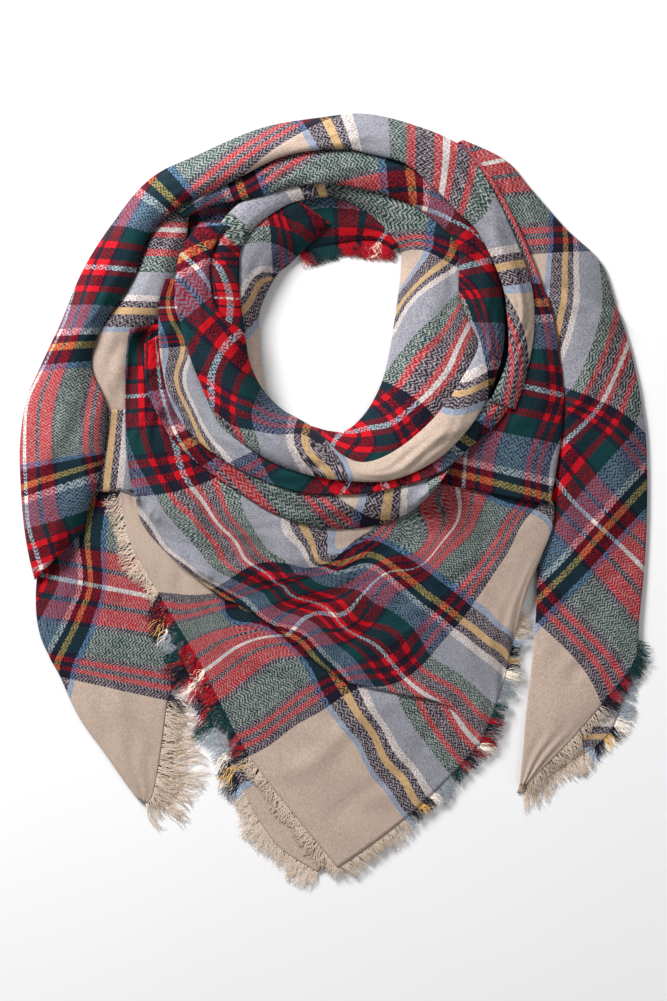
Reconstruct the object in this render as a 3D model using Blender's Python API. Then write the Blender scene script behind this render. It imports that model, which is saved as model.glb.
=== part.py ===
"""Blanket scarf: one square of brushed plaid cloth, folded corner to corner,
wound into a loose ring and laid flat with two tails and a point below it.

Sizes are millimetres on a laying-out board: x to the right, y down the board.
"""

import math

import bmesh
import bpy
import numpy as np

COLLECTION = "blanket_scarf"
MM = 0.001
BOARD_CENTRE = (336.3, 498.1)   # board point under the middle of the laid scarf
BOARD_SIZE = (680, 920)         # height map of the board, one cell a millimetre
WALL = 2.4                      # depth of the cloth wall, measured straight down
CLEARANCE = 0.4                 # free height kept between laid pieces
ALONG_STEP = 21.0               # grid length along a stretch
WAVE_LENGTH = 95.0              # spacing of the soft waves in the cloth
FRINGE_GAP = 0.4                # cloth edge to the fringe backing
FRINGE_BACKING = 2.6            # width of the backing strip
FRINGE_WALL = 1.8               # depth of backing and locks
LOCK_PITCH = 10.5               # width of one lock at its root
LOCK_TAPER = 0.38               # tip width over root width
SETTLE_ROUNDS = 60
FLOOR = -CLEARANCE

# A stretch is a row per section. Columns: x and y of the first edge, x and y of
# the second edge, bow of the section, heights of both edges, and crown between.
TAIL_LEFT_UNDER = (
    (74, 684, 160, 688, 0, 3.0, 3.0, 0.3),
    (92, 722, 172, 722, 0, 3.0, 3.0, 0.3),
    (112, 755, 173, 752, 0, 3.0, 3.0, 0.3),
    (136, 786, 168, 782, 0, 3.0, 3.0, 0.2),
    (153, 808, 160, 806, 0, 3.0, 3.0, 0.0),
)
TAIL_LEFT = (
    (66, 478, 140, 492, 0, 5.0, 9.0, 3),
    (50, 530, 146, 545, 0, 4.0, 8.0, 4),
    (38, 572, 160, 596, 0, 3.4, 7.0, 4),
    (36, 606, 178, 628, 0, 3.4, 6.0, 3.5),
    (40, 634, 181, 656, 0, 4.0, 6.0, 3),
    (50, 658, 178, 680, 0, 4.5, 6.0, 2.5),
    (60, 676, 168, 700, 0, 5.0, 6.0, 2.5),
    (78, 715, 163, 735, 0, 5.6, 6.0, 2),
    (103, 750, 158, 768, 0, 5.8, 6.0, 1.5),
    (124, 780, 153, 792, 0, 5.8, 6.0, 1),
    (138, 799, 147, 803, 0, 5.8, 6.0, 0),
)
TAIL_RIGHT_UNDER = (
    (545, 640, 635, 648, 0, 3.0, 3.0, 0.3),
    (538, 688, 624, 696, 0, 3.0, 3.0, 0.3),
    (532, 726, 607, 736, 4, 3.0, 3.0, 0.3),
    (526, 762, 570, 762, 0, 3.0, 3.0, 0.2),
    (517, 793, 525, 792, 0, 3.0, 3.0, 0.0),
)
TAIL_RIGHT = (
    (446, 150, 463, 140, 0, 16, 4, 2),
    (456, 172, 505, 160, 0, 16, 3.2, 8),
    (473, 201, 530, 188, 0, 15, 3.0, 12),
    (492, 236, 565, 228, 0, 14, 3.0, 14),
    (510, 268, 600, 262, 0, 13, 3.0, 15),
    (528, 306, 615, 303, 0, 12, 3.0, 15),
    (543, 347, 629, 345, 0, 11, 3.0, 14),
    (548, 386, 640, 395, 0, 10, 3.0, 12),
    (548, 440, 646, 440, 0, 9, 3.0, 11),
    (543, 500, 647, 500, 0, 7, 3.0, 9),
    (538, 550, 645, 556, 0, 5, 3.2, 7),
    (536, 610, 639, 618, 0, 4.5, 4.5, 4),
    (532, 660, 634, 662, 0, 5.0, 5.6, 2.5),
    (526, 712, 603, 702, 0, 5.4, 5.6, 2),
    (523, 750, 565, 745, 0, 5.4, 5.6, 1.5),
    (519, 786, 527, 783, 0, 5.4, 5.6, 0),
)
NECK_EDGE = (
    (262, 212, 290, 257, 0, 10, 4, 3),
    (288, 194, 308, 250, 0, 11, 4, 4),
    (316, 186, 325, 246, 0, 12, 4, 4),
    (346, 190, 345, 243, 0, 12, 4, 4),
    (370, 206, 362, 241, 0, 11, 4, 4),
    (390, 226, 378, 242, 0, 10, 4, 3),
    (406, 244, 393, 250, 0, 9, 4, 2),
)
SHOULDER_FOLD_LEFT = (
    (160, 206, 190, 206, 0, 20, 20, 4),
    (143, 245, 187, 247, 0, 18, 20, 9),
    (128, 276, 180, 278, 0, 16, 20, 12),
    (112, 304, 172, 306, 0, 14, 20, 13),
    (90, 328, 152, 331, 0, 12, 18, 13),
    (82, 350, 138, 346, 0, 11, 16, 12),
    (84, 372, 136, 370, 0, 10, 14, 11),
    (92, 396, 134, 394, 0, 9, 12, 8),
    (104, 420, 130, 420, 0, 8, 10, 4),
)
EDGE_FOLD_LEFT = (
    (98, 410, 137, 410, 0, 11, 12, 3),
    (95, 440, 139, 440, 0, 12, 13, 4),
    (92, 470, 141, 468, 0, 12, 13, 4),
    (92, 492, 134, 492, 0, 11, 12, 2),
)
BIB_UNDER = (
    (160, 606, 204, 608, 0, 3.2, 3.6, 0.3),
    (185, 665, 232, 652, 0, 3.0, 3.4, 0.3),
    (205, 705, 255, 692, 0, 3.0, 3.2, 0.3),
    (222, 745, 274, 732, 0, 3.0, 3.0, 0.3),
    (242, 788, 296, 768, 0, 3.0, 3.0, 0.3),
    (274, 842, 322, 812, 0, 3.0, 3.0, 0.3),
    (318, 872, 350, 850, 0, 3.0, 3.0, 0.0),
)
BIB_LOWER = (
    (120, 488, 146, 497, 0, 12, 13, 0),
    (130, 540, 182, 556, 0, 11, 13, 1),
    (158, 592, 236, 590, 0, 8, 12, 2),
    (181, 630, 270, 615, 0, 7, 11, 2),
    (203, 668, 302, 640, 0, 6, 10, 2),
    (225, 712, 335, 665, 2, 5.8, 9.5, 2),
    (250, 757, 384, 680, 4, 5.8, 9, 2),
    (292, 812, 456, 694, 6, 5.8, 8, 1.5),
    (338, 868, 486, 736, 8, 5.6, 6, 0),
)
BIB_UPPER = (
    (131, 330, 164, 324, 0, 14, 20, 6),
    (127, 360, 160, 358, 0, 14, 20, 6),
    (126, 397, 164, 395, 0, 14, 20, 7),
    (126, 428, 176, 424, 0, 14, 20, 8),
    (128, 460, 204, 452, 0, 14, 19, 8),
    (136, 498, 236, 474, 6, 14, 20, 7),
    (150, 534, 292, 500, 12, 14, 22, 5),
    (214, 592, 364, 512, 14, 11, 22, 4),
    (243, 606, 412, 502, 12, 11, 21, 3),
    (285, 635, 466, 462, 12, 11, 21, 3),
    (310, 657, 512, 484, 12, 11, 18, 3),
    (346, 681, 548, 497, 10, 11, 15, 3),
    (396, 693, 553, 522, 8, 9, 12, 3),
    (448, 706, 541, 556, 4, 8.6, 10, 3),
    (479, 747, 518, 612, 5, 6.4, 6.4, 0.5),
)
BIB_RISE_RIGHT = (
    (440, 484, 549, 505, 0, 22, 18, 2),
    (458, 446, 556, 466, 0, 23, 17, 4),
    (482, 418, 561, 430, 0, 23, 17, 6),
    (503, 386, 563, 396, 0, 22, 17, 7),
    (516, 350, 558, 352, 0, 21, 17, 8),
    (520, 320, 552, 318, 0, 20, 17, 8),
    (512, 276, 538, 278, 0, 20, 17, 6),
    (494, 236, 517, 228, 0, 20, 17, 5),
    (470, 196, 490, 178, 0, 20, 17, 4),
    (447, 160, 460, 142, 0, 19, 16, 2),
)
COWL_LOWER = (
    (146, 345, 170, 330, 0, 19, 26, 5),
    (147, 380, 176, 370, 0, 19, 28, 6),
    (154, 405, 186, 400, 0, 20, 29, 7),
    (172, 438, 202, 426, 0, 21, 30, 7),
    (200, 465, 226, 448, 0, 22, 31, 7),
    (236, 490, 262, 466, 0, 22, 32, 7),
    (275, 514, 296, 480, 0, 22, 33, 7),
    (318, 527, 334, 484, 0, 23, 33, 7),
    (360, 528, 372, 480, 0, 23, 33, 7),
    (400, 517, 404, 474, 0, 23, 33, 6),
    (430, 494, 426, 464, 0, 24, 33, 5),
    (452, 464, 444, 452, 0, 26, 32, 3),
)
COWL_MIDDLE = (
    (167, 280, 188, 282, 0, 24, 27, 3),
    (160, 305, 190, 305, 0, 24, 28, 5),
    (160, 335, 196, 333, 0, 25, 30, 6),
    (163, 365, 206, 360, 0, 26, 31, 7),
    (171, 400, 222, 396, 0, 28, 33, 7),
    (188, 430, 238, 422, 0, 29, 34, 7),
    (220, 458, 258, 442, 0, 31, 36, 6),
    (262, 480, 292, 460, 0, 32, 37, 5),
    (308, 494, 328, 469, 0, 32, 38, 4),
    (360, 494, 369, 472, 0, 32, 38, 3),
    (405, 485, 404, 466, 0, 32, 38, 3),
    (440, 472, 430, 452, 0, 31, 37, 4),
    (470, 447, 450, 434, 0, 30, 36, 4),
    (494, 426, 468, 410, 0, 29, 34, 5),
    (508, 408, 484, 396, 0, 27, 30, 4),
)
INNER_FOLD_LEFT = (
    (286, 194, 330, 224, 0, 20, 9, 6),
    (256, 210, 306, 248, 0, 22, 7, 8),
    (236, 232, 290, 264, 0, 24, 4, 10),
    (229, 260, 279, 273, 0, 25, 3, 12),
    (229, 285, 270, 287, 0, 25, 3, 12),
    (230, 312, 260, 311, 0, 25, 3, 11),
    (234, 342, 259, 337, 0, 26, 3, 10),
    (242, 374, 261, 366, 0, 26, 3, 9),
    (256, 402, 266, 396, 0, 26, 4, 5),
)
INNER_FOLD_RIGHT = (
    (316, 180, 320, 193, 0, 22, 18, 2),
    (346, 184, 350, 204, 0, 23, 16, 4),
    (376, 190, 372, 217, 0, 24, 12, 6),
    (406, 200, 389, 234, 0, 25, 8, 8),
    (436, 218, 400, 250, 0, 26, 5, 10),
    (460, 246, 401, 265, 0, 27, 3, 13),
    (467, 282, 399, 288, 0, 28, 3, 15),
    (474, 322, 394, 324, 0, 28, 3, 16),
    (483, 352, 389, 354, 0, 28, 3, 16),
    (468, 390, 381, 384, 0, 30, 3, 16),
    (436, 428, 366, 412, 0, 32, 3, 14),
    (402, 458, 347, 430, 0, 33, 3, 12),
    (368, 474, 330, 431, 0, 34, 3, 10),
    (338, 476, 312, 426, 0, 33, 3, 6),
)
FOLD_TOP_LEFT = (
    (322, 180, 328, 198, 0, 24, 22, 3),
    (290, 183, 300, 202, 0, 25, 23, 4),
    (260, 192, 281, 210, 0, 26, 24, 5),
    (232, 212, 256, 228, 0, 27, 25, 6),
    (210, 242, 242, 250, 0, 27, 26, 8),
    (203, 272, 240, 272, 0, 27, 26, 9),
    (204, 306, 241, 302, 0, 28, 27, 8),
    (218, 342, 246, 334, 0, 30, 28, 6),
)
ROLL_MAIN = (
    (172, 205, 184, 221, 0, 22, 26, 3),
    (205, 186, 214, 207, 0, 22, 28, 6),
    (243, 172, 254, 200, 0, 22, 30, 8),
    (285, 150, 300, 188, 0, 22, 30, 11),
    (325, 143, 338, 187, 0, 22, 30, 12),
    (372, 146, 378, 195, 0, 22, 30, 12),
    (412, 162, 411, 207, 0, 22, 30, 12),
    (440, 184, 429, 219, 0, 22, 31, 12),
    (471, 214, 451, 239, 0, 22, 32, 11),
    (490, 246, 458, 258, 0, 23, 34, 10),
    (502, 290, 458, 295, 0, 24, 34, 13),
    (504, 322, 468, 323, 0, 26, 35, 12),
    (502, 352, 477, 346, 0, 28, 36, 9),
    (491, 388, 464, 374, 0, 32, 37, 8),
    (470, 426, 438, 413, 0, 36, 38, 8),
    (436, 460, 402, 446, 0, 38, 38, 8),
    (392, 480, 368, 462, 0, 38, 36, 9),
    (345, 481, 342, 455, 0, 38, 28, 12),
    (308, 475, 314, 428, 0, 38, 3, 26),
    (272, 462, 282, 409, 0, 38, 3, 27),
    (240, 441, 262, 388, 0, 37, 4, 27),
    (216, 414, 250, 362, 0, 35, 24, 15),
    (198, 376, 244, 334, 0, 32, 30, 12),
    (187, 345, 225, 320, 0, 30, 33, 10),
    (179, 312, 214, 300, 0, 28, 32, 11),
    (176, 285, 211, 276, 0, 27, 31, 12),
    (179, 260, 213, 256, 0, 26, 30, 11),
    (188, 240, 219, 240, 0, 24, 28, 9),
    (201, 224, 229, 226, 0, 23, 26, 5),
)
OUTER_BAND = (
    (514, 410, 489, 402, 0, 28, 33, 3),
    (525, 376, 506, 360, 0, 27, 31, 5),
    (533, 330, 506, 318, 0, 26, 31, 7),
    (530, 285, 500, 283, 0, 25, 32, 8),
    (512, 234, 478, 236, 0, 24, 34, 9),
    (484, 178, 456, 214, 0, 22, 37, 8),
    (455, 144, 434, 191, 0, 12, 38, 10),
    (410, 124, 405, 167, 0, 3, 38, 15),
    (365, 114, 370, 157, 0, 3, 38, 16),
    (325, 117, 340, 152, 0, 3, 38, 16),
    (262, 128, 284, 159, 0, 3, 37, 15),
    (200, 154, 227, 187, 0, 3, 35, 16),
    (150, 179, 178, 210, 0, 3, 33, 16),
    (112, 224, 150, 238, 0, 3, 30, 16),
    (82, 272, 134, 280, 0, 3, 27, 17),
    (60, 325, 103, 328, 0, 3, 24, 18),
    (39, 370, 93, 366, 0, 3, 22, 18),
    (26, 402, 107, 405, 0, 3, 20, 18),
    (20, 446, 106, 442, 0, 3, 19, 18),
    (21, 488, 103, 464, 0, 3, 18, 17),
    (24, 525, 97, 488, 0, 3, 17, 16),
    (29, 556, 88, 512, 0, 3, 15, 13),
    (35, 580, 83, 532, 0, 5, 12, 7),
)
# Hidden layers: x, y of outer and inner edge, bow, both heights, crown.
HEAP_CORE = (
    (330, 134, 338, 180, 0, 7, 12, 4),
    (425, 150, 410, 205, 0, 7, 12, 4),
    (498, 225, 446, 250, 0, 8, 14, 5),
    (522, 320, 440, 305, 0, 8, 14, 6),
    (504, 405, 432, 360, 0, 8, 16, 6),
    (452, 482, 400, 405, 0, 8, 16, 6),
    (335, 508, 340, 452, 0, 8, 16, 6),
    (225, 470, 268, 424, 0, 8, 16, 6),
    (120, 400, 238, 360, 0, 7, 16, 6),
    (72, 345, 240, 300, 0, 7, 14, 8),
    (120, 250, 250, 240, 0, 7, 13, 8),
    (225, 163, 275, 205, 0, 7, 12, 5),
)

# Columns: name, table, cells across, wave height, colour of the cloth.
LAY_ORDER = (
    ("tail_left_under", TAIL_LEFT_UNDER, 3, 0.0, (0.50, 0.40, 0.30)),
    ("tail_left", TAIL_LEFT, 5, 0.7, (0.36, 0.12, 0.10)),
    ("tail_right_under", TAIL_RIGHT_UNDER, 3, 0.0, (0.50, 0.40, 0.30)),
    ("tail_right", TAIL_RIGHT, 5, 0.7, (0.30, 0.12, 0.12)),
    ("neck_edge", NECK_EDGE, 4, 0.5, (0.08, 0.08, 0.07)),
    ("shoulder_fold_left", SHOULDER_FOLD_LEFT, 4, 0.6, (0.35, 0.36, 0.40)),
    ("edge_fold_left", EDGE_FOLD_LEFT, 3, 0.4, (0.16, 0.15, 0.18)),
    ("bib_under", BIB_UNDER, 3, 0.0, (0.48, 0.38, 0.29)),
    ("bib_lower", BIB_LOWER, 5, 0.7, (0.50, 0.40, 0.31)),
    ("bib_upper", BIB_UPPER, 6, 0.8, (0.28, 0.20, 0.22)),
    ("bib_rise_right", BIB_RISE_RIGHT, 4, 0.6, (0.46, 0.36, 0.28)),
    ("cowl_lower", COWL_LOWER, 4, 0.6, (0.42, 0.20, 0.20)),
    ("inner_fold_left", INNER_FOLD_LEFT, 4, 0.5, (0.20, 0.18, 0.16)),
    ("inner_fold_right", INNER_FOLD_RIGHT, 5, 0.6, (0.44, 0.36, 0.30)),
    ("fold_top_left", FOLD_TOP_LEFT, 4, 0.5, (0.40, 0.12, 0.12)),
    ("cowl_middle", COWL_MIDDLE, 4, 0.5, (0.34, 0.36, 0.42)),
    ("roll_main", ROLL_MAIN, 6, 0.7, (0.38, 0.16, 0.15)),
    ("outer_band", OUTER_BAND, 6, 0.8, (0.36, 0.28, 0.24)),
)
CORE_COLOUR = (0.42, 0.36, 0.31)
CORE_ALONG = 44
CORE_ACROSS = 5

# Columns: name, cloth, side, first and last share of that side, lock length at
# both ends, lean of the locks along the edge, colour.
FRINGES = (
    ("fringe_tail_left_under", "tail_left_under", "second", 0.1, 1.0, 19, 22, 0.2,
     (0.60, 0.50, 0.38)),
    ("fringe_tail_left", "tail_left", "second", 0.62, 1.0, 18, 20, 0.3,
     (0.62, 0.52, 0.40)),
    ("fringe_tail_right_under", "tail_right_under", "second", 0.0, 1.0, 10, 13, 0.2,
     (0.30, 0.26, 0.30)),
    ("fringe_tail_right", "tail_right", "second", 0.77, 1.0, 12, 10, 0.2,
     (0.34, 0.24, 0.24)),
    ("fringe_neck", "neck_edge", "second", 0.1, 1.0, 16, 16, 0.0,
     (0.40, 0.05, 0.06)),
    ("fringe_bib_under", "bib_under", "first", 0.0, 1.0, 17, 14, 0.3,
     (0.36, 0.26, 0.24)),
    ("fringe_bib_left", "bib_lower", "first", 0.0, 1.0, 15, 12, 0.3,
     (0.56, 0.46, 0.35)),
    ("fringe_bib_right", "bib_lower", "end", 0.0, 1.0, 12, 10, 0.0,
     (0.30, 0.30, 0.34)),
    ("fringe_bib_side", "bib_upper", "end", 0.0, 1.0, 13, 11, 0.0,
     (0.28, 0.20, 0.24)),
)


def catmull_rom(rows, position, closed=False):
    """Smooth values of all columns of a table at positions given in rows."""
    rows = np.asarray(rows, dtype=float)
    count = len(rows)
    low = np.floor(position).astype(int)
    if not closed:
        low = np.clip(low, 0, count - 2)
    part = (position - low)[:, None]

    def at(index):
        if closed:
            return rows[index % count]
        return rows[np.clip(index, 0, count - 1)]

    before, here, after, beyond = at(low - 1), at(low), at(low + 1), at(low + 2)
    slope_here = (after - before) * 0.5
    slope_after = (beyond - here) * 0.5
    square, cube = part ** 2, part ** 3
    return (here * (2 * cube - 3 * square + 1) + slope_here * (cube - 2 * square + part)
            + after * (3 * square - 2 * cube) + slope_after * (cube - square))


def row_positions(rows, share, closed=False):
    """Row positions at even shares of the length of a stretch's middle line."""
    table = np.asarray(rows, dtype=float)
    count = len(table) if closed else len(table) - 1
    dense = np.linspace(0.0, count, 60 * count + 1)
    line = catmull_rom(table, dense, closed)
    middle = (line[:, 0:2] + line[:, 2:4]) * 0.5
    steps = np.hypot(*np.diff(middle, axis=0).T)
    run = np.concatenate(([0.0], np.cumsum(steps)))
    return np.interp(share * run[-1], run, dense), run[-1]


def surface(rows, share, across, wave=0.0, closed=False):
    """Board points of a stretch at shares along it and across it."""
    position, _ = row_positions(rows, share, closed)
    x0, y0, x1, y1, bow, z0, z1, crown = catmull_rom(rows, position, closed).T
    width = np.hypot(x1 - x0, y1 - y0)
    arch = np.sin(math.pi * across)
    side = bow * arch / width
    x = x0 + (x1 - x0) * across - (y1 - y0) * side
    y = y0 + (y1 - y0) * across + (x1 - x0) * side
    z = z0 + (z1 - z0) * across + crown * arch
    ripple = np.sin((x + 0.6 * y) / WAVE_LENGTH * 2 * math.pi)
    ripple = ripple * np.sin((0.8 * y - x) / WAVE_LENGTH * 2 * math.pi)
    return np.column_stack((x, y, z + wave * arch * (1.0 + ripple)))


def sheet_grid(along, across):
    """Triangulated unit grid and the shares of its vertices."""
    mesh = bmesh.new()
    bmesh.ops.create_grid(mesh, x_segments=along, y_segments=across, size=0.5)
    bmesh.ops.triangulate(mesh, faces=mesh.faces[:])
    share = np.array([vert.co.xy for vert in mesh.verts])
    share = (share - share.min(axis=0)) / np.ptp(share, axis=0)
    return mesh, share


def face_outwards(mesh):
    """Give a closed piece faces that all point outwards."""
    bmesh.ops.recalc_face_normals(mesh, faces=mesh.faces[:])
    if mesh.calc_volume(signed=True) < 0.0:
        bmesh.ops.reverse_faces(mesh, faces=mesh.faces[:])


def close_downwards(mesh, depth=None):
    """Thicken an open grid straight down by a depth, or down to the floor."""
    result = bmesh.ops.extrude_face_region(mesh, geom=mesh.faces[:], use_keep_orig=True)
    for item in result["geom"]:
        if isinstance(item, bmesh.types.BMVert):
            item.co.z = 0.0 if depth is None else item.co.z - depth
    face_outwards(mesh)


def columns_of(mesh):
    """Index of the upright column each vertex belongs to, and column points."""
    points = np.array([vert.co[:] for vert in mesh.verts])
    _, first, index = np.unique(
        np.round(points[:, :2], 3), axis=0, return_index=True, return_inverse=True
    )
    return points, index.reshape(-1), first


def facing(mesh, upward):
    """Vertex index triples of the triangles that face up, or down."""
    mesh.verts.index_update()
    mesh.normal_update()
    sign = 1.0 if upward else -1.0
    return np.array([
        [vert.index for vert in face.verts]
        for face in mesh.faces
        if len(face.verts) == 3 and face.normal.z * sign > 1e-3
    ])


def cells_under(points, triangles):
    """Board cells under triangles, with the triangle and its corner weights."""
    cells, owners, weights = [], [], []
    for owner, triangle in enumerate(triangles):
        a, b, c = points[triangle][:, :2]
        low = np.floor(np.min((a, b, c), axis=0) - 0.5).astype(int)
        high = np.ceil(np.max((a, b, c), axis=0) + 0.5).astype(int)
        area = (b[0] - a[0]) * (c[1] - a[1]) - (c[0] - a[0]) * (b[1] - a[1])
        if abs(area) < 1e-9:
            continue
        across, down = np.meshgrid(
            np.arange(low[0], high[0] + 1), np.arange(low[1], high[1] + 1), indexing="ij"
        )
        x, y = across.ravel() + 0.5, down.ravel() + 0.5
        second = ((x - a[0]) * (c[1] - a[1]) - (c[0] - a[0]) * (y - a[1])) / area
        third = ((b[0] - a[0]) * (y - a[1]) - (x - a[0]) * (b[1] - a[1])) / area
        first = 1.0 - second - third
        inside = (first >= -1e-6) & (second >= -1e-6) & (third >= -1e-6)
        if not inside.any():
            inside = np.zeros(len(x), dtype=bool)
            centre = (a + b + c) / 3.0
            inside[np.argmin((x - centre[0]) ** 2 + (y - centre[1]) ** 2)] = True
        picked = np.column_stack((across.ravel(), down.ravel()))[inside]
        cells.append(picked)
        owners.append(np.full(len(picked), owner))
        weights.append(np.clip(np.column_stack((first, second, third))[inside], 0.0, 1.0))
    return np.concatenate(cells), np.concatenate(owners), np.concatenate(weights)


def widened(height_map):
    """Highest value among each cell and its eight neighbours."""
    padded = np.pad(height_map, 1, mode="edge")
    wide, tall = height_map.shape
    views = [
        padded[i:i + wide, j:j + tall] for i in range(3) for j in range(3)
    ]
    return np.max(views, axis=0)


def settle(mesh, board, spread, drop):
    """Lift a closed piece, column by column, until it clears what lies below.

    A piece that is nowhere held up is dropped onto what lies below it.
    """
    points, column, _ = columns_of(mesh)
    below = facing(mesh, upward=False)
    cells, owner, weight = cells_under(points, below)
    ground = widened(board)[cells[:, 0], cells[:, 1]] + CLEARANCE
    corner = below[owner]
    share = weight / np.sum(weight ** 2, axis=1)[:, None]
    lift = np.zeros(column.max() + 1)
    edges = np.array([[column[v.index] for v in edge.verts] for edge in mesh.edges])
    for turn in range(SETTLE_ROUNDS):
        height = np.sum(weight * (points[corner, 2] + lift[column[corner]]), axis=1)
        short = ground - height
        wrong = short > 1e-3
        if not wrong.any() and turn > spread:
            break
        raise_by = np.zeros_like(lift)
        for k in range(3):
            np.maximum.at(raise_by, column[corner[wrong, k]], short[wrong] * share[wrong, k])
        lift += raise_by
        if turn < spread:
            total, count = np.zeros_like(lift), np.zeros_like(lift)
            for one, other in ((0, 1), (1, 0)):
                np.add.at(total, edges[:, one], lift[edges[:, other]])
                np.add.at(count, edges[:, one], 1.0)
            lift = np.maximum(lift, 0.92 * total / np.maximum(count, 1.0))
    height = np.sum(weight * (points[corner, 2] + lift[column[corner]]), axis=1)
    if drop:
        lift -= max(0.0, np.min(height - ground))
    for vert in mesh.verts:
        vert.co.z += lift[column[vert.index]]


def add_to_board(mesh, board):
    """Record the top of a settled piece in the height map."""
    points = np.array([vert.co[:] for vert in mesh.verts])
    top = facing(mesh, upward=True)
    cells, owner, weight = cells_under(points, top)
    height = np.sum(weight * points[top[owner], 2], axis=1)
    np.maximum.at(board, (cells[:, 0], cells[:, 1]), height)


def cloth_material(name, colour):
    """Principled fabric of one colour."""
    material = bpy.data.materials.new(name + "_cloth")
    material.use_nodes = True
    shader = material.node_tree.nodes["Principled BSDF"]
    shader.inputs["Base Color"].default_value = (*colour, 1.0)
    shader.inputs["Roughness"].default_value = 0.9
    return material


def place(mesh, name, colour, collection):
    """Turn a board mesh into a named object in metres, with its material."""
    for vert in mesh.verts:
        x, y, z = vert.co
        vert.co = (
            (x - BOARD_CENTRE[0]) * MM, (BOARD_CENTRE[1] - y) * MM, z * MM
        )
    face_outwards(mesh)
    data = bpy.data.meshes.new(name)
    mesh.to_mesh(data)
    mesh.free()
    item = bpy.data.objects.new(name, data)
    data.materials.append(cloth_material(name, colour))
    collection.objects.link(item)


def make_core(board, collection):
    """The hidden layers: a closed ring with a flat underside and rounded top."""
    mesh, share = sheet_grid(CORE_ALONG, CORE_ACROSS)
    points = surface(HEAP_CORE, share[:, 0], share[:, 1], closed=True)
    for vert, point in zip(mesh.verts, points):
        vert.co = point
    bmesh.ops.remove_doubles(mesh, verts=mesh.verts[:], dist=0.0001)
    close_downwards(mesh)
    add_to_board(mesh, board)
    place(mesh, "heap_core", CORE_COLOUR, collection)


def make_cloth(name, rows, cells, wave, colour, board, collection):
    """One stretch of cloth as a wall laid on what is already there."""
    _, length = row_positions(rows, np.array([0.0, 1.0]))
    along = max(3, round(length / ALONG_STEP))
    mesh, share = sheet_grid(along, cells)
    spacing = 0.5 - 0.5 * np.cos(math.pi * share[:, 1])
    across = 0.55 * spacing + 0.45 * share[:, 1]
    points = surface(rows, share[:, 0], across, wave)
    for vert, point in zip(mesh.verts, points):
        vert.co = point
    close_downwards(mesh, WALL)
    settle(mesh, board, spread=4, drop=True)
    edges = edge_lines(mesh, share, points)
    add_to_board(mesh, board)
    place(mesh, name, colour, collection)
    return edges


def edge_lines(mesh, share, points):
    """Settled top points of a stretch's two long sides and its two ends."""
    mesh.verts.ensure_lookup_table()
    lines = {}
    sides = (("first", 1, 0.0), ("second", 1, 1.0), ("start", 0, 0.0), ("end", 0, 1.0))
    for side, axis, value in sides:
        picked = np.flatnonzero(np.abs(share[:, axis] - value) < 1e-6)
        picked = picked[np.argsort(share[picked, 1 - axis])]
        lines[side] = np.array([
            (points[i, 0], points[i, 1], mesh.verts[int(i)].co.z) for i in picked
        ])
    inside = points[:, :2].mean(axis=0)
    return lines, inside


def outward_normals(line, inside):
    """Mitred plan normals of an edge line, pointing away from the cloth."""
    step = np.diff(line[:, :2], axis=0)
    step = step / np.hypot(step[:, 0], step[:, 1])[:, None]
    normal = np.column_stack((-step[:, 1], step[:, 0]))
    middle = (line[:-1, :2] + line[1:, :2]) * 0.5
    if np.sum((middle - inside) * normal) < 0.0:
        normal = -normal
    ends = np.vstack((normal[:1], normal))
    starts = np.vstack((normal, normal[-1:]))
    mitre = ends + starts
    return mitre / (1.0 + np.sum(ends * starts, axis=1))[:, None]


def split_line(line, pitch):
    """An edge line with each of its pieces cut into root widths."""
    points = [line[0]]
    for start, end in zip(line[:-1], line[1:]):
        count = max(1, round(math.dist(start[:2], end[:2]) / pitch))
        points += [start + (end - start) * (k + 1) / count for k in range(count)]
    return np.array(points)


def make_fringe(spec, edges, board, below, collection):
    """A backing strip along a cut edge with tapered locks standing out of it."""
    name, cloth, side, first, last, long_start, long_end, lean, colour = spec
    lines, inside = edges[cloth]
    whole = lines[side]
    count = len(whole) - 1
    line = split_line(whole[round(first * count):round(last * count) + 1], LOCK_PITCH)
    normal = outward_normals(line, inside)
    inner = line[:, :2] + normal * FRINGE_GAP
    outer = inner + normal * FRINGE_BACKING
    locks = len(line) - 1
    mesh, share = sheet_grid(locks, 1)
    for vert, (along, across) in zip(mesh.verts, share):
        station = round(along * locks)
        point = inner[station] if across < 0.5 else outer[station]
        vert.co = (point[0], point[1], max(line[station, 2] - 0.3, FRINGE_WALL))
    close_downwards(mesh, FRINGE_WALL)
    faces = [[] for _ in range(locks)]
    bmesh.ops.join_triangles(
        mesh, faces=mesh.faces[:], angle_face_threshold=0.5, angle_shape_threshold=3.1
    )
    mesh.normal_update()
    for face in mesh.faces:
        if abs(face.normal.z) > 0.7:
            continue
        centre = np.array(face.calc_center_median()[:2])
        gaps = np.hypot(*((outer[1:] + outer[:-1]) * 0.5 - centre).T)
        if gaps.min() < 0.3:
            faces[int(np.argmin(gaps))] = face
    for index, face in enumerate(faces):
        share_along = index / max(locks - 1, 1)
        size = long_start + (long_end - long_start) * share_along
        size *= 1.0 + 0.28 * math.sin(2.3 * index) * math.cos(1.1 * index + 0.4)
        draw_lock(mesh, face, normal[index] + normal[index + 1], size, lean)
    bmesh.ops.triangulate(mesh, faces=mesh.faces[:])
    face_outwards(mesh)
    settle(mesh, below, spread=0, drop=False)
    add_to_board(mesh, board)
    add_to_board(mesh, below)
    place(mesh, name, colour, collection)


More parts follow.
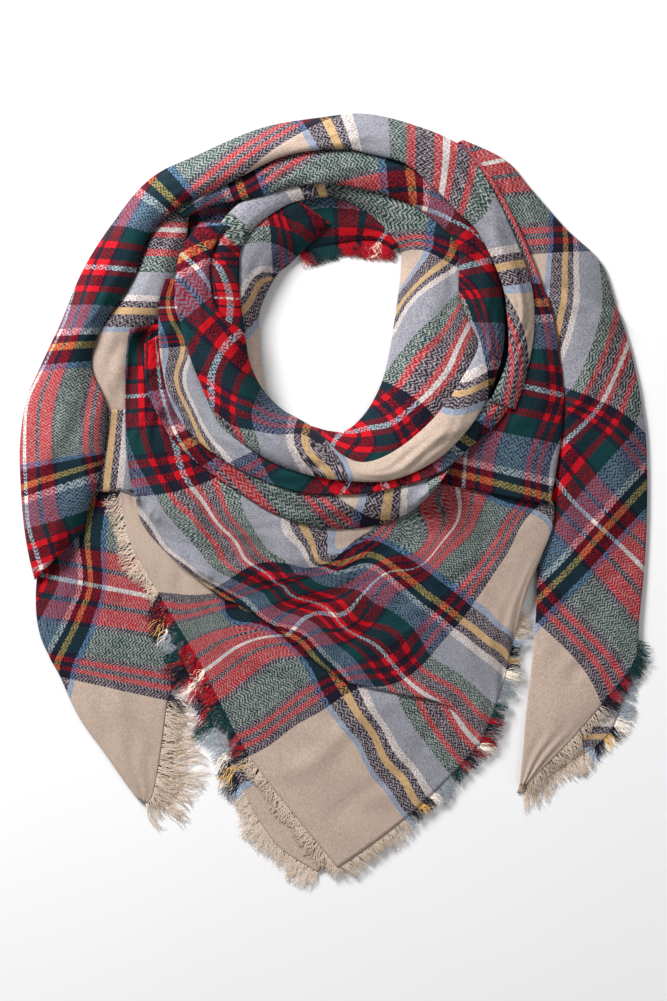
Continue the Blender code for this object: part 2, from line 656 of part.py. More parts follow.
def draw_lock(mesh, face, heading, size, lean):
    """Pull one root face out into a tapered lock that dips to the floor."""
    result = bmesh.ops.extrude_discrete_faces(mesh, faces=[face])
    tip = result["faces"][0]
    centre = np.array(tip.calc_center_median())
    heading = heading / math.hypot(*heading)
    side = np.array((-heading[1], heading[0]))
    reach = heading * size + side * size * lean
    level = max(FRINGE_WALL * 0.5, centre[2] - 3.0)
    for vert in tip.verts:
        offset = np.array(vert.co) - centre
        vert.co.x = centre[0] + reach[0] + offset[0] * LOCK_TAPER
        vert.co.y = centre[1] + reach[1] + offset[1] * LOCK_TAPER
        vert.co.z = level + offset[2] * 0.6


def main():
    """Clear the scene, lay the cloth from the bottom up, then comb the fringe."""
    for item in list(bpy.data.objects):
        bpy.data.objects.remove(item, do_unlink=True)
    collection = bpy.data.collections.new(COLLECTION)
    bpy.context.scene.collection.children.link(collection)
    board = np.full(BOARD_SIZE, FLOOR)
    make_core(board, collection)
    edges = {}
    for name, rows, cells, wave, colour in LAY_ORDER:
        below = board.copy()
        edges[name] = make_cloth(name, rows, cells, wave, colour, board, collection)
        for spec in FRINGES:
            if spec[1] == name:
                make_fringe(spec, edges, board, below, collection)


main()
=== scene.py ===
"""Blanket scarf laid in a loose ring: cloth, weave, fringe, floor, light and camera.

Tables are in millimetres on a laying-out board, x to the right and y down. The
cloth's own place is u and v, in millimetres from the middle of its check.
"""

import math

import bmesh
import bpy
import numpy as np
from bpy.props import FloatProperty, FloatVectorProperty
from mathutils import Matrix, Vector


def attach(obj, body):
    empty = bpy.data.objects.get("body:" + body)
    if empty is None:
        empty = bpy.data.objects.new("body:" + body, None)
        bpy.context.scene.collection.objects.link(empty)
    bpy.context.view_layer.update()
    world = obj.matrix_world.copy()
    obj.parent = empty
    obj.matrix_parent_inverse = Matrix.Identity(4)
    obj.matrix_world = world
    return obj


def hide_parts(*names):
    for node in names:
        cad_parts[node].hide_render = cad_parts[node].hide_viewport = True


bl_info = {
    "name": "Blanket scarf",
    "version": (1, 0, 0),
    "blender": (4, 5, 0),
    "location": "View3D > Sidebar > Blanket scarf",
    "description": "Lays a fringed plaid blanket scarf in a loose ring",
    "category": "Object",
}

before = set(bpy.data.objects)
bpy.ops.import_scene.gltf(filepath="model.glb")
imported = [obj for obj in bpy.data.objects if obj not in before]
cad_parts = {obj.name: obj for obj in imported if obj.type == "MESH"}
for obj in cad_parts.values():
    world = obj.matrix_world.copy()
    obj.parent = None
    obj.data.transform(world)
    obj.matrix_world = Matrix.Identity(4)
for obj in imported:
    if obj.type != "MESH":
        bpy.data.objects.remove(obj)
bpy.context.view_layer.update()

MM = 0.001
METRE = 1000.0                  # in millimetres
TURN = 2.0 * math.pi
BOARD_CENTRE = (336.3, 498.1)   # board point under the middle of the laid scarf
VIEW_CENTRE = (333.5, 500.5)    # board point under the camera
BOARD_SIZE = (680, 920)         # height map of the board, one cell a millimetre
CLEARANCE = 0.25                # free height kept between laid pieces
FLOOR = -CLEARANCE
SETTLE_ROUNDS = 80
SPREAD_ROUNDS = 24              # of these, the ones that spread the lift sideways
SPREAD_KEPT = 0.985             # share of its neighbours' lift that a point takes on
FOLD_ROUNDNESS = 0.78           # below one, the sides of a fold drop more steeply
ROW_STEPS = 60                  # points from row to row when a stretch is measured
CROWN_STRETCH = 2.4             # weight of a crown's height in the flat width
EDGE_CROWDING = 0.35            # how far the mesh is drawn to both edges
LEAST_CELLS = 6                 # across or along any stretch
WAVE_LENGTH = 95.0              # spacing of the soft waves in the cloth
WAVE_SLOPES = (0.6, 0.8)        # of the two sets of waves that cross
RIB_WANDER = ((0.22, 210.0, 1.0), (0.10, 83.0, 2.0))   # share, length, phase
RIB_UNEVEN = (0.55, 0.45, 150.0, 1.7)                  # mean, share, length, phase
RIB_SHIFT = 0.3

# Columns: x, y of the first edge, x, y of the second edge, bow, both heights,
# crown, u of both edges, v of both edges, then in some rows the bow of the weave.
TAIL_LEFT_UNDER = (
    (74, 684, 160, 688, 0, 3.0, 3.0, 0.3, 130, 240, -105, -105),
    (92, 722, 172, 722, 0, 3.0, 3.0, 0.3, 135, 240, -135, -135),
    (112, 755, 173, 752, 0, 3.0, 3.0, 0.3, 165, 240, -170, -170),
    (136, 786, 168, 782, 0, 3.0, 3.0, 0.2, 198, 240, -205, -205),
    (153, 808, 160, 806, 0, 3.0, 3.0, 0.0, 225, 240, -230, -230),
)
TAIL_LEFT = (
    (66, 478, 140, 492, 0, 5.0, 9.0, 3, 50, 157, 88, 88),
    (50, 530, 146, 545, 0, 4.0, 8.0, 4, 43, 174, 45, 45),
    (38, 572, 160, 596, 0, 3.4, 7.0, 4, 12, 203, 2, 2),
    (36, 606, 178, 628, 0, 3.4, 6.0, 3.5, 32, 229, -25, -25),
    (40, 634, 181, 656, 0, 4.0, 6.0, 3, 58, 233, -50, -50),
    (50, 658, 178, 680, 0, 4.5, 6.0, 2.5, 84, 240, -75, -75),
    (60, 676, 168, 700, 0, 5.0, 6.0, 2.5, 100, 240, -97, -97),
    (78, 715, 163, 735, 0, 5.6, 6.0, 2, 133, 240, -130, -130),
    (103, 750, 158, 768, 0, 5.8, 6.0, 1.5, 165, 240, -170, -170),
    (124, 780, 153, 792, 0, 5.8, 6.0, 1, 198, 240, -205, -205),
    (138, 799, 147, 803, 0, 5.8, 6.0, 0, 225, 240, -225, -225),
)
TAIL_RIGHT_UNDER = (
    (545, 640, 635, 648, 0, 3.0, 3.0, 0.3, 38, 38, 140, 244),
    (538, 688, 624, 696, 0, 3.0, 3.0, 0.3, 60, 60, 140, 244),
    (532, 726, 607, 736, 4, 3.0, 3.0, 0.3, 94, 94, 150, 244),
    (526, 762, 570, 762, 0, 3.0, 3.0, 0.2, 150, 150, 190, 244),
    (517, 793, 525, 792, 0, 3.0, 3.0, 0.0, 230, 230, 230, 244),
)
TAIL_RIGHT = (
    (446, 150, 463, 140, 0, 16, 4, 2, -215, -200, -30, -24),
    (456, 172, 505, 160, 0, 16, 3.2, 8, -200, -150, 0, 0),
    (473, 201, 530, 188, 0, 15, 3.0, 12, -210, -150, 34, 30),
    (492, 236, 565, 228, 0, 14, 3.0, 14, -205, -94, 74, 72),
    (510, 268, 600, 262, 0, 13, 3.0, 15, -168, -45, 110, 110),
    (528, 306, 615, 303, 0, 12, 3.0, 15, -136, -30, 164, 160),
    (543, 347, 629, 345, 0, 11, 3.0, 14, -106, 2, 212, 205),
    (548, 386, 640, 395, 0, 10, 3.0, 12, -75, 42, 248, 225),
    (548, 440, 646, 440, 0, 9, 3.0, 11, -14, 62, 320, 248),
    (543, 500, 647, 500, 0, 7, 3.0, 9, 20, 108, 362, 288),
    (538, 550, 645, 556, 0, 5, 3.2, 7, 50, 154, 398, 333),
    (536, 610, 639, 618, 0, 4.5, 4.5, 4, 102, 200, 432, 372),
    (532, 660, 634, 662, 0, 5.0, 5.6, 2.5, 135, 240, 470, 400),
    (526, 712, 603, 702, 0, 5.4, 5.6, 2, 165, 240, 505, 437),
    (523, 750, 565, 745, 0, 5.4, 5.6, 1.5, 197, 240, 535, 480),
    (519, 786, 527, 783, 0, 5.4, 5.6, 0, 232, 240, 560, 556),
)
NECK_EDGE = (
    (262, 212, 290, 257, 0, 10, 4, 3, -66, -18, 84, 84),
    (288, 194, 308, 250, 0, 11, 4, 4, -66, -16, 66, 66),
    (316, 186, 325, 246, 0, 12, 4, 4, -66, -15, 47, 47),
    (346, 190, 345, 243, 0, 12, 4, 4, -64, -16, 27, 27),
    (370, 206, 362, 241, 0, 11, 4, 4, -54, -17, 13, 13),
    (390, 226, 378, 242, 0, 10, 4, 3, -40, -18, 1, 1),
    (406, 244, 393, 250, 0, 9, 4, 2, -30, -18, -20, -20),
)
SHOULDER_FOLD_LEFT = (
    (160, 206, 190, 206, 0, 20, 20, 4, -30, -30, 130, 165),
    (143, 245, 187, 247, 0, 18, 20, 9, 17, 17, 125, 175),
    (128, 276, 180, 278, 0, 16, 20, 12, 50, 50, 120, 180),
    (112, 304, 172, 306, 0, 14, 20, 13, 86, 86, 115, 180),
    (90, 328, 152, 331, 0, 12, 18, 13, 114, 116, 112, 180),
    (82, 350, 138, 346, 0, 11, 16, 12, 145, 142, 115, 175),
    (84, 372, 136, 370, 0, 10, 14, 11, 168, 168, 118, 172),
    (92, 396, 134, 394, 0, 9, 12, 8, 192, 192, 122, 165),
    (104, 420, 130, 420, 0, 8, 10, 4, 218, 218, 128, 155),
)
EDGE_FOLD_LEFT = (
    (98, 410, 137, 410, 0, 11, 12, 3, 118, 66, 130, 130),
    (95, 440, 139, 440, 0, 12, 13, 4, 116, 62, 160, 160),
    (92, 470, 141, 468, 0, 12, 13, 4, 114, 58, 190, 190),
    (92, 492, 134, 492, 0, 11, 12, 2, 112, 62, 215, 215),
)
BIB_UNDER = (
    (160, 606, 204, 608, 0, 3.2, 3.6, 0.3, -108, -108, 244, 200),
    (185, 665, 232, 652, 0, 3.0, 3.4, 0.3, -22, -22, 244, 200),
    (205, 705, 255, 692, 0, 3.0, 3.2, 0.3, 22, 22, 244, 200),
    (222, 745, 274, 732, 0, 3.0, 3.0, 0.3, 66, 66, 244, 200),
    (242, 788, 296, 768, 0, 3.0, 3.0, 0.3, 118, 118, 244, 200),
    (274, 842, 322, 812, 0, 3.0, 3.0, 0.3, 180, 180, 244, 200),
    (318, 872, 350, 850, 0, 3.0, 3.0, 0.0, 225, 225, 244, 210),
)
BIB_LOWER = (
    (120, 488, 146, 497, 0, 12, 13, 0, -240, -125, 250, 250),
    (130, 540, 182, 556, 0, 11, 13, 1, -240, -122, 175, 175),
    (158, 592, 236, 590, 0, 8, 12, 2, -240, -100, 97, 97),
    (181, 630, 270, 615, 0, 7, 11, 2, -240, -97, 50, 50),
    (203, 668, 302, 640, 0, 6, 10, 2, -240, -95, 0, 0),
    (225, 712, 335, 665, 2, 5.8, 9.5, 2, -240, -91, -50, -50),
    (250, 757, 384, 680, 4, 5.8, 9, 2, -240, -62, -97, -97),
    (292, 812, 456, 694, 6, 5.8, 8, 1.5, -240, 8, -170, -170),
    (338, 868, 486, 736, 8, 5.6, 6, 0, -240, 10, -244, -244),
)
BIB_UPPER = (
    (131, 330, 164, 324, 0, 14, 20, 6, -72, -30, 418, 418),
    (127, 360, 160, 358, 0, 14, 20, 6, -72, -22, 383, 383),
    (126, 397, 164, 395, 0, 14, 20, 7, -56, -8, 342, 342),
    (126, 428, 176, 424, 0, 14, 20, 8, -58, 4, 309, 309),
    (128, 460, 204, 452, 0, 14, 19, 8, -65, 18, 273, 273),
    (136, 498, 236, 474, 6, 14, 20, 7, -75, 38, 243, 240),
    (150, 534, 292, 500, 12, 14, 22, 5, -75, 82, 170, 195),
    (214, 592, 364, 512, 14, 11, 22, 4, -94, 148, 97, 118, 38),
    (243, 606, 412, 502, 12, 11, 21, 3, -80, 178, 50, 55, 8),
    (285, 635, 466, 462, 12, 11, 21, 3, -94, 268, 0, 0, 3),
    (310, 657, 512, 484, 12, 11, 18, 3, -94, 275, -50, -50),
    (346, 681, 548, 497, 10, 11, 15, 3, -90, 268, -97, -97, 10),
    (396, 693, 553, 522, 8, 9, 12, 3, -48, 250, -130, -122),
    (448, 706, 541, 556, 4, 8.6, 10, 3, 0, 228, -170, -170),
    (479, 747, 518, 612, 5, 6.4, 6.4, 0.5, 0, 170, -244, -244, -15),
)
BIB_RISE_RIGHT = (
    (440, 484, 549, 505, 0, 22, 18, 2, 248, 258, 26, -99),
    (458, 446, 556, 466, 0, 23, 17, 4, 296, 297, 10, -105),
    (482, 418, 561, 430, 0, 23, 17, 6, 322, 325, -5, -95),
    (503, 386, 563, 396, 0, 22, 17, 7, 356, 360, -20, -85),
    (516, 350, 558, 352, 0, 21, 17, 8, 405, 405, -36, -84),
    (520, 320, 552, 318, 0, 20, 17, 8, 440, 440, -42, -85),
    (512, 276, 538, 278, 0, 20, 17, 6, 480, 480, -48, -88),
    (494, 236, 517, 228, 0, 20, 17, 5, 520, 528, -50, -88),
    (470, 196, 490, 178, 0, 20, 17, 4, 560, 572, -52, -88),
    (447, 160, 460, 142, 0, 19, 16, 2, 595, 610, -56, -88),
)
COWL_LOWER = (
    (146, 345, 170, 330, 0, 19, 26, 5, -335, -335, -20, 20),
    (147, 380, 176, 370, 0, 19, 28, 6, -322, -322, -18, 22),
    (154, 405, 186, 400, 0, 20, 29, 7, -304, -304, -15, 26),
    (172, 438, 202, 426, 0, 21, 30, 7, -277, -277, -8, 34),
    (200, 465, 226, 448, 0, 22, 31, 7, -250, -250, 2, 42),
    (236, 490, 262, 466, 0, 22, 32, 7, -222, -222, 14, 54),
    (275, 514, 296, 480, 0, 22, 33, 7, -190, -190, 30, 75),
    (318, 527, 334, 484, 0, 23, 33, 7, -148, -148, 60, 105),
    (360, 528, 372, 480, 0, 23, 33, 7, -112, -112, 85, 128),
    (400, 517, 404, 474, 0, 23, 33, 6, -82, -80, 100, 146),
    (430, 494, 426, 464, 0, 24, 33, 5, -44, -44, 115, 160),
    (452, 464, 444, 452, 0, 26, 32, 3, -10, -10, 125, 165),
)
COWL_MIDDLE = (
    (167, 280, 188, 282, 0, 24, 27, 3, -108, -68, 374, 374),
    (160, 305, 190, 305, 0, 24, 28, 5, -110, -56, 350, 350),
    (160, 335, 196, 333, 0, 25, 30, 6, -118, -56, 278, 278),
    (163, 365, 206, 360, 0, 26, 31, 7, -120, -56, 215, 215),
    (171, 400, 222, 396, 0, 28, 33, 7, -121, -46, 172, 172),
    (188, 430, 238, 422, 0, 29, 34, 7, -122, -44, 142, 142),
    (220, 458, 258, 442, 0, 31, 36, 6, -84, -40, 106, 106),
    (262, 480, 292, 460, 0, 32, 37, 5, -58, -30, 68, 68),
    (308, 494, 328, 469, 0, 32, 38, 4, -40, -22, 28, 28),
    (360, 494, 369, 472, 0, 32, 38, 3, -18, -6, -14, -10),
    (405, 485, 404, 466, 0, 32, 38, 3, 16, 18, -26, -18),
    (440, 472, 430, 452, 0, 31, 37, 4, 50, 52, -34, -22),
    (470, 447, 450, 434, 0, 30, 36, 4, 92, 92, -60, -38),
    (494, 426, 468, 410, 0, 29, 34, 5, 118, 118, -82, -50),
    (508, 408, 484, 396, 0, 27, 30, 4, 135, 135, -88, -56),
)
INNER_FOLD_LEFT = (
    (286, 194, 330, 224, 0, 20, 9, 6, 5, 5, 46, 10),
    (256, 210, 306, 248, 0, 22, 7, 8, 26, 26, 112, 52),
    (236, 232, 290, 264, 0, 24, 4, 10, 46, 50, 142, 75),
    (229, 260, 279, 273, 0, 25, 3, 12, 58, 64, 150, 90),
    (229, 285, 270, 287, 0, 25, 3, 12, 68, 97, 155, 100),
    (230, 312, 260, 311, 0, 25, 3, 11, 90, 113, 162, 126),
    (234, 342, 259, 337, 0, 26, 3, 10, 122, 131, 166, 140),
    (242, 374, 261, 366, 0, 26, 3, 9, 150, 153, 170, 148),
    (256, 402, 266, 396, 0, 26, 4, 5, 178, 176, 172, 150),
)
INNER_FOLD_RIGHT = (
    (316, 180, 320, 193, 0, 22, 18, 2, -150, -150, 32, 44),
    (346, 184, 350, 204, 0, 23, 16, 4, -168, -165, 34, 54),
    (376, 190, 372, 217, 0, 24, 12, 6, -190, -185, 36, 62),
    (406, 200, 389, 234, 0, 25, 8, 8, -212, -205, 38, 66),
    (436, 218, 400, 250, 0, 26, 5, 10, -246, -222, 46, 92),
    (460, 246, 401, 265, 0, 27, 3, 13, -278, -214, 70, 130),
    (467, 282, 399, 288, 0, 28, 3, 15, -306, -217, 106, 160),
    (474, 322, 394, 324, 0, 28, 3, 16, -346, -252, 144, 186),
    (483, 352, 389, 354, 0, 28, 3, 16, -384, -288, 184, 212),
    (468, 390, 381, 384, 0, 30, 3, 16, -392, -315, 218, 250),
    (436, 428, 366, 412, 0, 32, 3, 14, -398, -340, 250, 288),
    (402, 458, 347, 430, 0, 33, 3, 12, -404, -352, 278, 330),
    (368, 474, 330, 431, 0, 34, 3, 10, -410, -372, 300, 348),
    (338, 476, 312, 426, 0, 33, 3, 6, -420, -390, 330, 365),
)
FOLD_TOP_LEFT = (
    (322, 180, 328, 198, 0, 24, 22, 3, 95, 95, 104, 98),
    (290, 183, 300, 202, 0, 25, 23, 4, 80, 80, 130, 110),
    (260, 192, 281, 210, 0, 26, 24, 5, 66, 66, 136, 110),
    (232, 212, 256, 228, 0, 27, 25, 6, 48, 50, 134, 112),
    (210, 242, 242, 250, 0, 27, 26, 8, 18, 30, 104, 94),
    (203, 272, 240, 272, 0, 27, 26, 9, -16, 16, 60, 60),
    (204, 306, 241, 302, 0, 28, 27, 8, -22, 8, -15, -3),
    (218, 342, 246, 334, 0, 30, 28, 6, -8, 16, -70, -62),
)
ROLL_MAIN = (
    (172, 205, 184, 221, 0, 22, 26, 3, -30, -32, 116, 88),
    (205, 186, 214, 207, 0, 22, 28, 6, -62, -62, 115, 80),
    (243, 172, 254, 200, 0, 22, 30, 8, -102, -103, 104, 62),
    (285, 150, 300, 188, 0, 22, 30, 11, -150, -150, 92, 50),
    (325, 143, 338, 187, 0, 22, 30, 12, -190, -190, 76, 32),
    (372, 146, 378, 195, 0, 22, 30, 12, -236, -238, 62, 15),
    (412, 162, 411, 207, 0, 22, 30, 12, -270, -270, 42, 2),
    (440, 184, 429, 219, 0, 22, 31, 12, -296, -294, 30, -6),
    (471, 214, 451, 239, 0, 22, 32, 11, -324, -325, 18, -16),
    (490, 246, 458, 258, 0, 23, 34, 10, -348, -348, 4, -42),
    (502, 290, 458, 295, 0, 24, 34, 13, -384, -384, -28, -100),
    (504, 322, 468, 323, 0, 26, 35, 12, -405, -406, -42, -104),
    (502, 352, 477, 346, 0, 28, 36, 9, -430, -430, -66, -102),
    (491, 388, 464, 374, 0, 32, 37, 8, -458, -458, -93, -124),
    (470, 426, 438, 413, 0, 36, 38, 8, -494, -494, -106, -132),
    (436, 460, 402, 446, 0, 38, 38, 8, -531, -531, -115, -148),
    (392, 480, 368, 462, 0, 38, 36, 9, -568, -568, -119, -154),
    (345, 481, 342, 455, 0, 38, 28, 12, -598, -598, -120, -150),
    (308, 475, 314, 428, 0, 38, 3, 26, -622, -622, -135, -82),
    (272, 462, 282, 409, 0, 38, 3, 27, -658, -655, -134, -60),
    (240, 441, 262, 388, 0, 37, 4, 27, -698, -680, -121, -50),
    (216, 414, 250, 362, 0, 35, 24, 15, -716, -702, -110, -38),
    (198, 376, 244, 334, 0, 32, 30, 12, -732, -722, -62, -12),
    (187, 345, 225, 320, 0, 30, 33, 10, -750, -745, -45, -9),
    (179, 312, 214, 300, 0, 28, 32, 11, -773, -766, -30, 0),
    (176, 285, 211, 276, 0, 27, 31, 12, -790, -784, -14, 12),
    (179, 260, 213, 256, 0, 26, 30, 11, -810, -806, -3, 18),
    (188, 240, 219, 240, 0, 24, 28, 9, -824, -820, 12, 30),
    (201, 224, 229, 226, 0, 23, 26, 5, -838, -835, 30, 48),
)
OUTER_BAND = (
    (514, 410, 489, 402, 0, 28, 33, 3, -927, -930, 258, 286),
    (525, 376, 506, 360, 0, 27, 31, 5, -895, -896, 248, 276),
    (533, 330, 506, 318, 0, 26, 31, 7, -862, -862, 233, 256),
    (530, 285, 500, 283, 0, 25, 32, 8, -834, -828, 214, 240),
    (512, 234, 478, 236, 0, 24, 34, 9, -786, -778, 192, 226),
    (484, 178, 456, 214, 0, 22, 37, 8, -758, -742, 166, 212),
    (455, 144, 434, 191, 0, 12, 38, 10, -727, -713, 143, 200),
    (410, 124, 405, 167, 0, 3, 38, 15, -693, -690, 118, 178),
    (365, 114, 370, 157, 0, 3, 38, 16, -654, -652, 102, 158),
    (325, 117, 340, 152, 0, 3, 38, 16, -626, -626, 92, 140),
    (262, 128, 284, 159, 0, 3, 37, 15, -572, -572, 62, 112),
    (200, 154, 227, 187, 0, 3, 35, 16, -510, -510, 48, 92),
    (150, 179, 178, 210, 0, 3, 33, 16, -454, -452, 28, 76),
    (112, 224, 150, 238, 0, 3, 30, 16, -408, -402, 12, 66),
    (82, 272, 134, 280, 0, 3, 27, 17, -354, -350, 4, 66),
    (60, 325, 103, 328, 0, 3, 24, 18, -290, -286, -6, 60),
    (39, 370, 93, 366, 0, 3, 22, 18, -242, -242, -5, 66),
    (26, 402, 107, 405, 0, 3, 20, 18, -198, -196, -2, 92),
    (20, 446, 106, 442, 0, 3, 19, 18, -142, -140, -6, 95),
    (21, 488, 103, 464, 0, 3, 18, 17, -94, -92, -6, 85),
    (24, 525, 97, 488, 0, 3, 17, 16, -52, -70, -5, 75),
    (29, 556, 88, 512, 0, 3, 15, 13, -16, -44, -8, 56),
    (35, 580, 83, 532, 0, 5, 12, 7, 10, -18, -10, 48),
)
# Hidden layers: x, y of outer and inner edge, bow, both heights, crown.
HEAP_CORE = (
    (330, 134, 338, 180, 0, 7, 12, 4),
    (425, 150, 410, 205, 0, 7, 12, 4),
    (498, 225, 446, 250, 0, 8, 14, 5),
    (522, 320, 440, 305, 0, 8, 14, 6),
    (504, 405, 432, 360, 0, 8, 16, 6),
    (452, 482, 400, 405, 0, 8, 16, 6),
    (335, 508, 340, 452, 0, 8, 16, 6),
    (225, 470, 268, 424, 0, 8, 16, 6),
    (120, 400, 238, 360, 0, 7, 16, 6),
    (72, 345, 240, 300, 0, 7, 14, 8),
    (120, 250, 250, 240, 0, 7, 13, 8),
    (225, 163, 275, 205, 0, 7, 12, 5),
)
CORE_ALONG = 300
CORE_ACROSS = 30
CORE_LAYERS = 4          # folded edges that show round the hidden layers
CORE_STEP = 0.5          # height of these edges
CORE_PLACE = (0.9, 0.17) # scale and shift from metres to the cloth's place

# Stripes from the white middle line outwards: width so far in mm, colour.
ALONG_REPEAT = 360.0
ALONG_STRIPES = (
    (0.0, "white"), (2.5, "red"), (9.0, "navy"), (22.0, "red"), (29.0, "green"),
    (46.0, "grey_blue"), (75.0, "cream"), (82.5, "navy"), (90.5, "yellow"),
    (98.0, "navy"), (113.0, "light_blue"), (120.0, "beige"),
)
# Share of the face that each yarn takes where two yarns cross.
YARN_COVER = {
    "beige": 0.48, "grey_blue": 1.05, "light_blue": 0.90, "yellow": 0.90,
    "cream": 0.80, "navy": 0.74, "green": 0.66, "red": 0.86, "white": 0.85,
}
ACROSS_REPEAT = 342.0
ACROSS_STRIPES = (
    (0.0, "white"), (2.0, "red"), (13.0, "navy"), (17.5, "red"), (32.5, "navy"),
    (36.5, "green"), (64.5, "navy"), (69.5, "red"), (75.5, "navy"), (81.5, "red"),
    (88.0, "navy"), (97.5, "beige"),
)

# Columns: name, table, held, rests on, lengthwise ribs, rib depth, wave.
TAILS = (
    ("tail_left_under", TAIL_LEFT_UNDER, "laid", "floor", 2, 0.2, 0.0),
    ("tail_left", TAIL_LEFT, "folded", "tail_left_under", 3, 0.8, 0.7),
    ("tail_right_under", TAIL_RIGHT_UNDER, "laid", "floor", 2, 0.2, 0.0),
    ("tail_right", TAIL_RIGHT, "folded", "tail_right_under", 3, 1.0, 0.7),
)
SHOULDER = (
    ("neck_edge", NECK_EDGE, "folded", "heap_core", 2, 1.2, 0.5),
    ("shoulder_fold_left", SHOULDER_FOLD_LEFT, "folded", "heap_core", 2, 1.0, 0.6),
    ("edge_fold_left", EDGE_FOLD_LEFT, "folded", "tail_left", 2, 0.7, 0.4),
)
BIB = (
    ("bib_under", BIB_UNDER, "laid", "floor", 2, 0.2, 0.0),
    ("bib_lower", BIB_LOWER, "laid", "bib_under", 3, 0.8, 0.7),
    ("bib_upper", BIB_UPPER, "folded", "bib_lower", 4, 1.2, 0.8),
    ("bib_rise_right", BIB_RISE_RIGHT, "folded", "tail_right", 2, 0.8, 0.6),
)
COWL = (
    ("cowl_lower", COWL_LOWER, "folded", "bib_upper", 2, 1.2, 0.6),
    ("inner_fold_left", INNER_FOLD_LEFT, "folded", "heap_core", 2, 1.0, 0.5),
    ("inner_fold_right", INNER_FOLD_RIGHT, "folded", "heap_core", 3, 1.2, 0.6),
    ("fold_top_left", FOLD_TOP_LEFT, "folded", "inner_fold_left", 2, 0.8, 0.5),
    ("cowl_middle", COWL_MIDDLE, "folded", "cowl_lower", 2, 1.0, 0.5),
)
RINGS = (
    ("roll_main", ROLL_MAIN, "folded", "cowl_middle", 3, 1.3, 0.7),
    ("outer_band", OUTER_BAND, "folded", "roll_main", 3, 1.4, 0.8),
)
# Creases: x0, y0, x1, y1, width, height (below nought for a trough).
CREASES = {
    "tail_right": (
        (556, 292, 612, 306, 5, -2.2), (560, 300, 610, 316, 6, 1.6),
        (600, 330, 566, 420, 9, 1.6), (628, 420, 600, 540, 10, 1.8),
        (570, 470, 556, 590, 8, 1.4), (620, 560, 580, 650, 9, -1.2),
    ),
    "tail_left": (
        (70, 590, 120, 690, 9, 1.4), (110, 570, 150, 640, 8, -1.2),
        (48, 620, 90, 700, 8, 1.0),
    ),
    "bib_lower": (
        (230, 640, 330, 700, 8, 1.4), (300, 760, 400, 700, 10, 1.2),
        (190, 640, 250, 740, 8, -1.0), (360, 800, 440, 730, 9, -1.0),
    ),
    "bib_upper": (
        (240, 500, 320, 640, 14, 2.0), (330, 540, 400, 660, 12, -1.8),
        (400, 540, 470, 640, 12, 1.8), (150, 400, 200, 520, 9, 1.8),
        (480, 520, 500, 610, 10, -1.4), (300, 560, 360, 650, 9, 1.2),
        (440, 600, 480, 700, 8, 1.2), (178, 470, 260, 570, 8, -1.6),
        (205, 440, 300, 520, 7, 1.6), (262, 628, 372, 566, 9, -1.6),
        (392, 606, 330, 668, 8, -1.2), (138, 350, 140, 440, 5, -1.4),
        (215, 560, 290, 590, 7, 1.3), (470, 560, 420, 640, 7, -1.3),
    ),
    "cowl_lower": ((180, 430, 260, 492, 5, -1.6), (300, 512, 380, 512, 5, 1.4)),
    "cowl_middle": ((175, 330, 200, 410, 5, -1.4), (260, 470, 340, 484, 4, 1.0)),
    "roll_main": (
        (192, 250, 196, 340, 5, -1.8), (230, 400, 290, 452, 6, 1.8),
        (330, 470, 420, 452, 6, -1.4), (470, 240, 484, 320, 6, -1.8),
        (330, 165, 420, 185, 6, 1.6), (250, 188, 300, 165, 5, -1.4),
        (205, 200, 186, 262, 5, 1.4), (300, 172, 392, 168, 5, -1.5),
        (196, 350, 250, 424, 5, -1.3), (388, 478, 452, 432, 5, 1.3),
        (212, 240, 214, 300, 4, 1.2),
    ),
    "inner_fold_right": (
        (420, 230, 430, 330, 6, 2.0), (445, 280, 448, 360, 5, -2.0),
        (430, 350, 400, 420, 6, 1.8), (412, 280, 405, 350, 5, -1.4),
    ),
    "inner_fold_left": ((262, 240, 250, 320, 4, -1.4), (285, 235, 268, 270, 4, 1.2)),
    "outer_band": (
        (60, 340, 48, 480, 9, 2.2), (85, 380, 76, 490, 7, -2.2),
        (110, 230, 70, 320, 7, -1.8), (170, 180, 120, 235, 7, 1.8),
        (250, 145, 330, 132, 7, -1.6), (360, 130, 440, 155, 8, 1.8),
        (500, 240, 520, 320, 6, 1.6), (470, 180, 505, 240, 6, -1.6),
        (40, 500, 60, 560, 7, 1.6), (66, 420, 60, 520, 7, -1.4),
        (96, 320, 104, 400, 6, 1.4), (140, 176, 96, 250, 6, -1.4),
        (300, 126, 400, 124, 6, 1.4), (420, 140, 480, 176, 5, -1.4),
    ),
    "shoulder_fold_left": ((160, 235, 140, 300, 6, 1.6), (120, 330, 112, 390, 6, -1.6)),
}
CREASE_DEPTH = 1.4       # of every rise in this table
CREASE_SWAY = (0.06, 0.8)   # sideways, by its length, and turns along it
CREASE_FADE = 0.25          # length of its soft end, by its length

